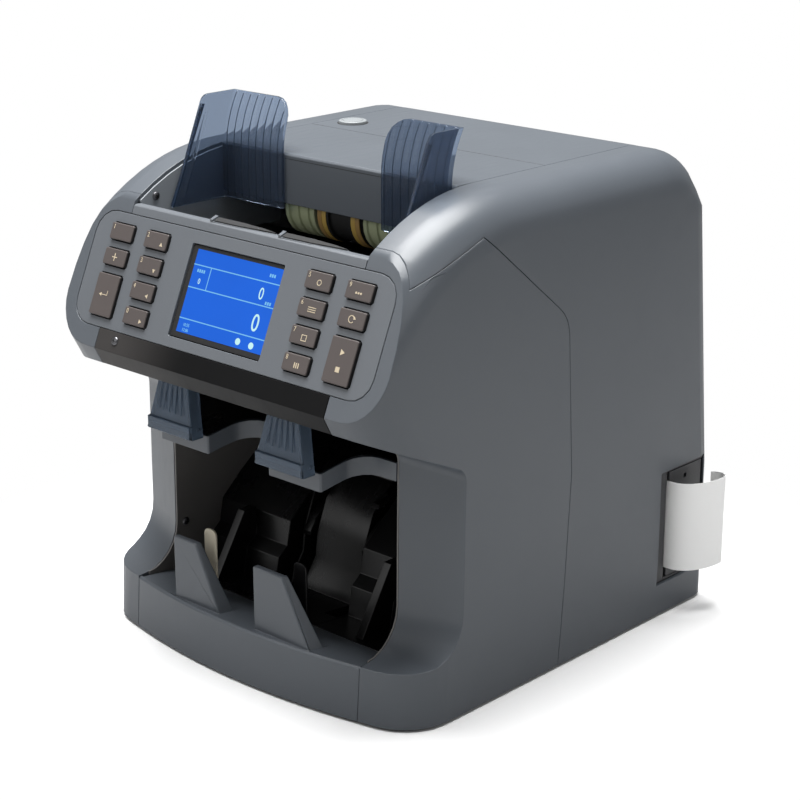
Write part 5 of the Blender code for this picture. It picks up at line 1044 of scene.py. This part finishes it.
def dress_button_gap():
    """The dark gap round the release button"""
    grid = bmesh.new()
    place = Matrix.Translation((BUTTON_X, BUTTON_Y, TOP_Z))
    gap = arc_band(BUTTON_GAP_RADIUS, BUTTON_GAP_WIDTH, 0, NEARLY_ROUND, ROUND_STEPS)
    flat_shape(grid, gap, place, SKIN / 2)
    item = piece_from(grid, "button_gap", MATT_BLACK)
    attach(item, frame["nodes"]["rear_cover"]["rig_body"])


def dress_stop_ribs():
    """Five upright ribs on the front of each stop"""
    for side, name in ((-1, "left"), (1, "right")):
        grid = bmesh.new()
        for k in range(-2, 3):
            rings = []
            for pitch, (y, z) in ((STOP_RIB_PITCH_LOW, STOP_RIB_LOW), (STOP_RIB_PITCH_HIGH, STOP_RIB_HIGH)):
                x, half = side * STOP_X + k * pitch, STOP_RIB_HALF_WIDTH
                rings.append([(x - half, y, z), (x, y - half, z), (x + half, y, z), (x, y + STOP_RIB_ROOT, z)])
            stacked(grid, rings)
        bmesh.ops.recalc_face_normals(grid, faces=grid.faces)
        item = piece_from(grid, name + "_stop_ribs", STOP_CLEAR)
        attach(item, frame["nodes"][name + "_reject_stop"]["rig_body"])


def screw_parts():
    """A pan head and its cross recess, both pointing up Z from the surface they sit on"""
    grid = bmesh.new()
    rings = [[(x, y, rise) for x, y in circle_points(radius, SCREW_SIDES)] for radius, rise in SCREW_PROFILE]
    stacked(grid, rings)
    head = piece_from(grid, "screw_head", SCREW_STEEL)
    head.data.shade_smooth()
    grid = bmesh.new()
    for width, height in ((CROSS_LENGTH, CROSS_WIDTH), (CROSS_WIDTH, CROSS_LENGTH)):
        stacked(grid, [[(x, y, z) for x, y in bar(0, 0, width, height)] for z in CROSS_LEVELS])
    cross = piece_from(grid, "screw_cross", MATT_BLACK)
    return head, cross


def screw_nodes():
    """Geometry nodes that set a screw on every point, turned to its facing and spun at random"""
    group = bpy.data.node_groups.new("screw_pattern", "GeometryNodeTree")
    for label, kind in (("Geometry", "NodeSocketGeometry"), ("Head", "NodeSocketObject"),
                        ("Cross", "NodeSocketObject"), ("Metal", "NodeSocketMaterial"),
                        ("Shadow", "NodeSocketMaterial"), ("Radius", "NodeSocketFloat"),
                        ("Seed", "NodeSocketInt")):
        group.interface.new_socket(label, in_out="INPUT", socket_type=kind)
    group.interface.new_socket("Geometry", in_out="OUTPUT", socket_type="NodeSocketGeometry")
    nodes, links = group.nodes, group.links
    take, give = nodes.new("NodeGroupInput"), nodes.new("NodeGroupOutput")
    facing = nodes.new("GeometryNodeInputNamedAttribute")
    facing.data_type = "FLOAT_VECTOR"
    facing.inputs["Name"].default_value = "facing"
    turn = nodes.new("FunctionNodeAlignRotationToVector")
    turn.axis = "Z"
    links.new(facing.outputs["Attribute"], turn.inputs["Vector"])
    chance = nodes.new("FunctionNodeRandomValue")
    chance.data_type = "FLOAT"
    chance.inputs[3].default_value = math.pi
    links.new(take.outputs["Seed"], chance.inputs["Seed"])
    spin = nodes.new("FunctionNodeAxisAngleToRotation")
    links.new(chance.outputs[1], spin.inputs["Angle"])
    both = nodes.new("FunctionNodeRotateRotation")
    both.rotation_space = "LOCAL"
    links.new(turn.outputs[0], both.inputs[0])
    links.new(spin.outputs[0], both.inputs[1])
    merge = nodes.new("GeometryNodeJoinGeometry")
    for thing, finish in (("Head", "Metal"), ("Cross", "Shadow")):
        source = nodes.new("GeometryNodeObjectInfo")
        links.new(take.outputs[thing], source.inputs["Object"])
        place = nodes.new("GeometryNodeInstanceOnPoints")
        links.new(take.outputs["Geometry"], place.inputs["Points"])
        links.new(source.outputs["Geometry"], place.inputs["Instance"])
        links.new(both.outputs[0], place.inputs["Rotation"])
        links.new(take.outputs["Radius"], place.inputs["Scale"])
        real = nodes.new("GeometryNodeRealizeInstances")
        links.new(place.outputs[0], real.inputs[0])
        paint = nodes.new("GeometryNodeSetMaterial")
        links.new(real.outputs[0], paint.inputs["Geometry"])
        links.new(take.outputs[finish], paint.inputs["Material"])
        links.new(paint.outputs[0], merge.inputs[0])
    links.new(merge.outputs[0], give.inputs[0])
    return group


def dress_screws():
    """Screws of the hopper sides, the pocket liners and the hood strip"""
    tilt = (0, -math.cos(PANEL_TILT), math.sin(PANEL_TILT))
    places = []
    for side in (-1, 1):
        for x, y, z in WALL_SCREWS:
            places.append(((side * x, y, z), (-side, 0, 0)))
    places.append((tuple(on_panel(*HOOD_SCREW)), tilt))
    head, cross = screw_parts()
    group = screw_nodes()
    mesh = bpy.data.meshes.new("screw_points")
    mesh.from_pydata([place for place, _ in places], [], [])
    facing = mesh.attributes.new("facing", "FLOAT_VECTOR", "POINT")
    for entry, (_, way) in zip(facing.data, places):
        entry.vector = way
    item = bpy.data.objects.new("case_screws", mesh)
    bpy.context.scene.collection.objects.link(item)
    pattern = item.modifiers.new("pattern", "NODES")
    pattern.node_group = group
    values = {"Head": head, "Cross": cross, "Metal": SCREW_STEEL, "Shadow": MATT_BLACK,
              "Radius": SCREW_RADIUS, "Seed": SCREW_SEED}
    for socket in group.interface.items_tree:
        if socket.in_out == "INPUT" and socket.name in values:
            pattern[socket.identifier] = values[socket.name]
    bake_modifiers(item)
    for part in (head, cross):
        bpy.data.objects.remove(part, do_unlink=True)
    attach(item, frame["nodes"]["base_pan"]["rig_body"])


bpy.context.scene.view_settings.view_transform = "Standard"
set_camera()
set_world()
for lamp_name, lamp_place, lamp_size, lamp_power in LAMPS:
    softbox(lamp_name, lamp_place, lamp_size, lamp_power)
set_floor()
dress_housings()
dress_insides()
dress_clear_parts()
dress_keys()
dress_display()
dress_button()
dress_separator_rings()
dress_lip()
dress_lines()
dress_stop_ribs()
dress_guide_lines()
dress_button_gap()
dress_screws()
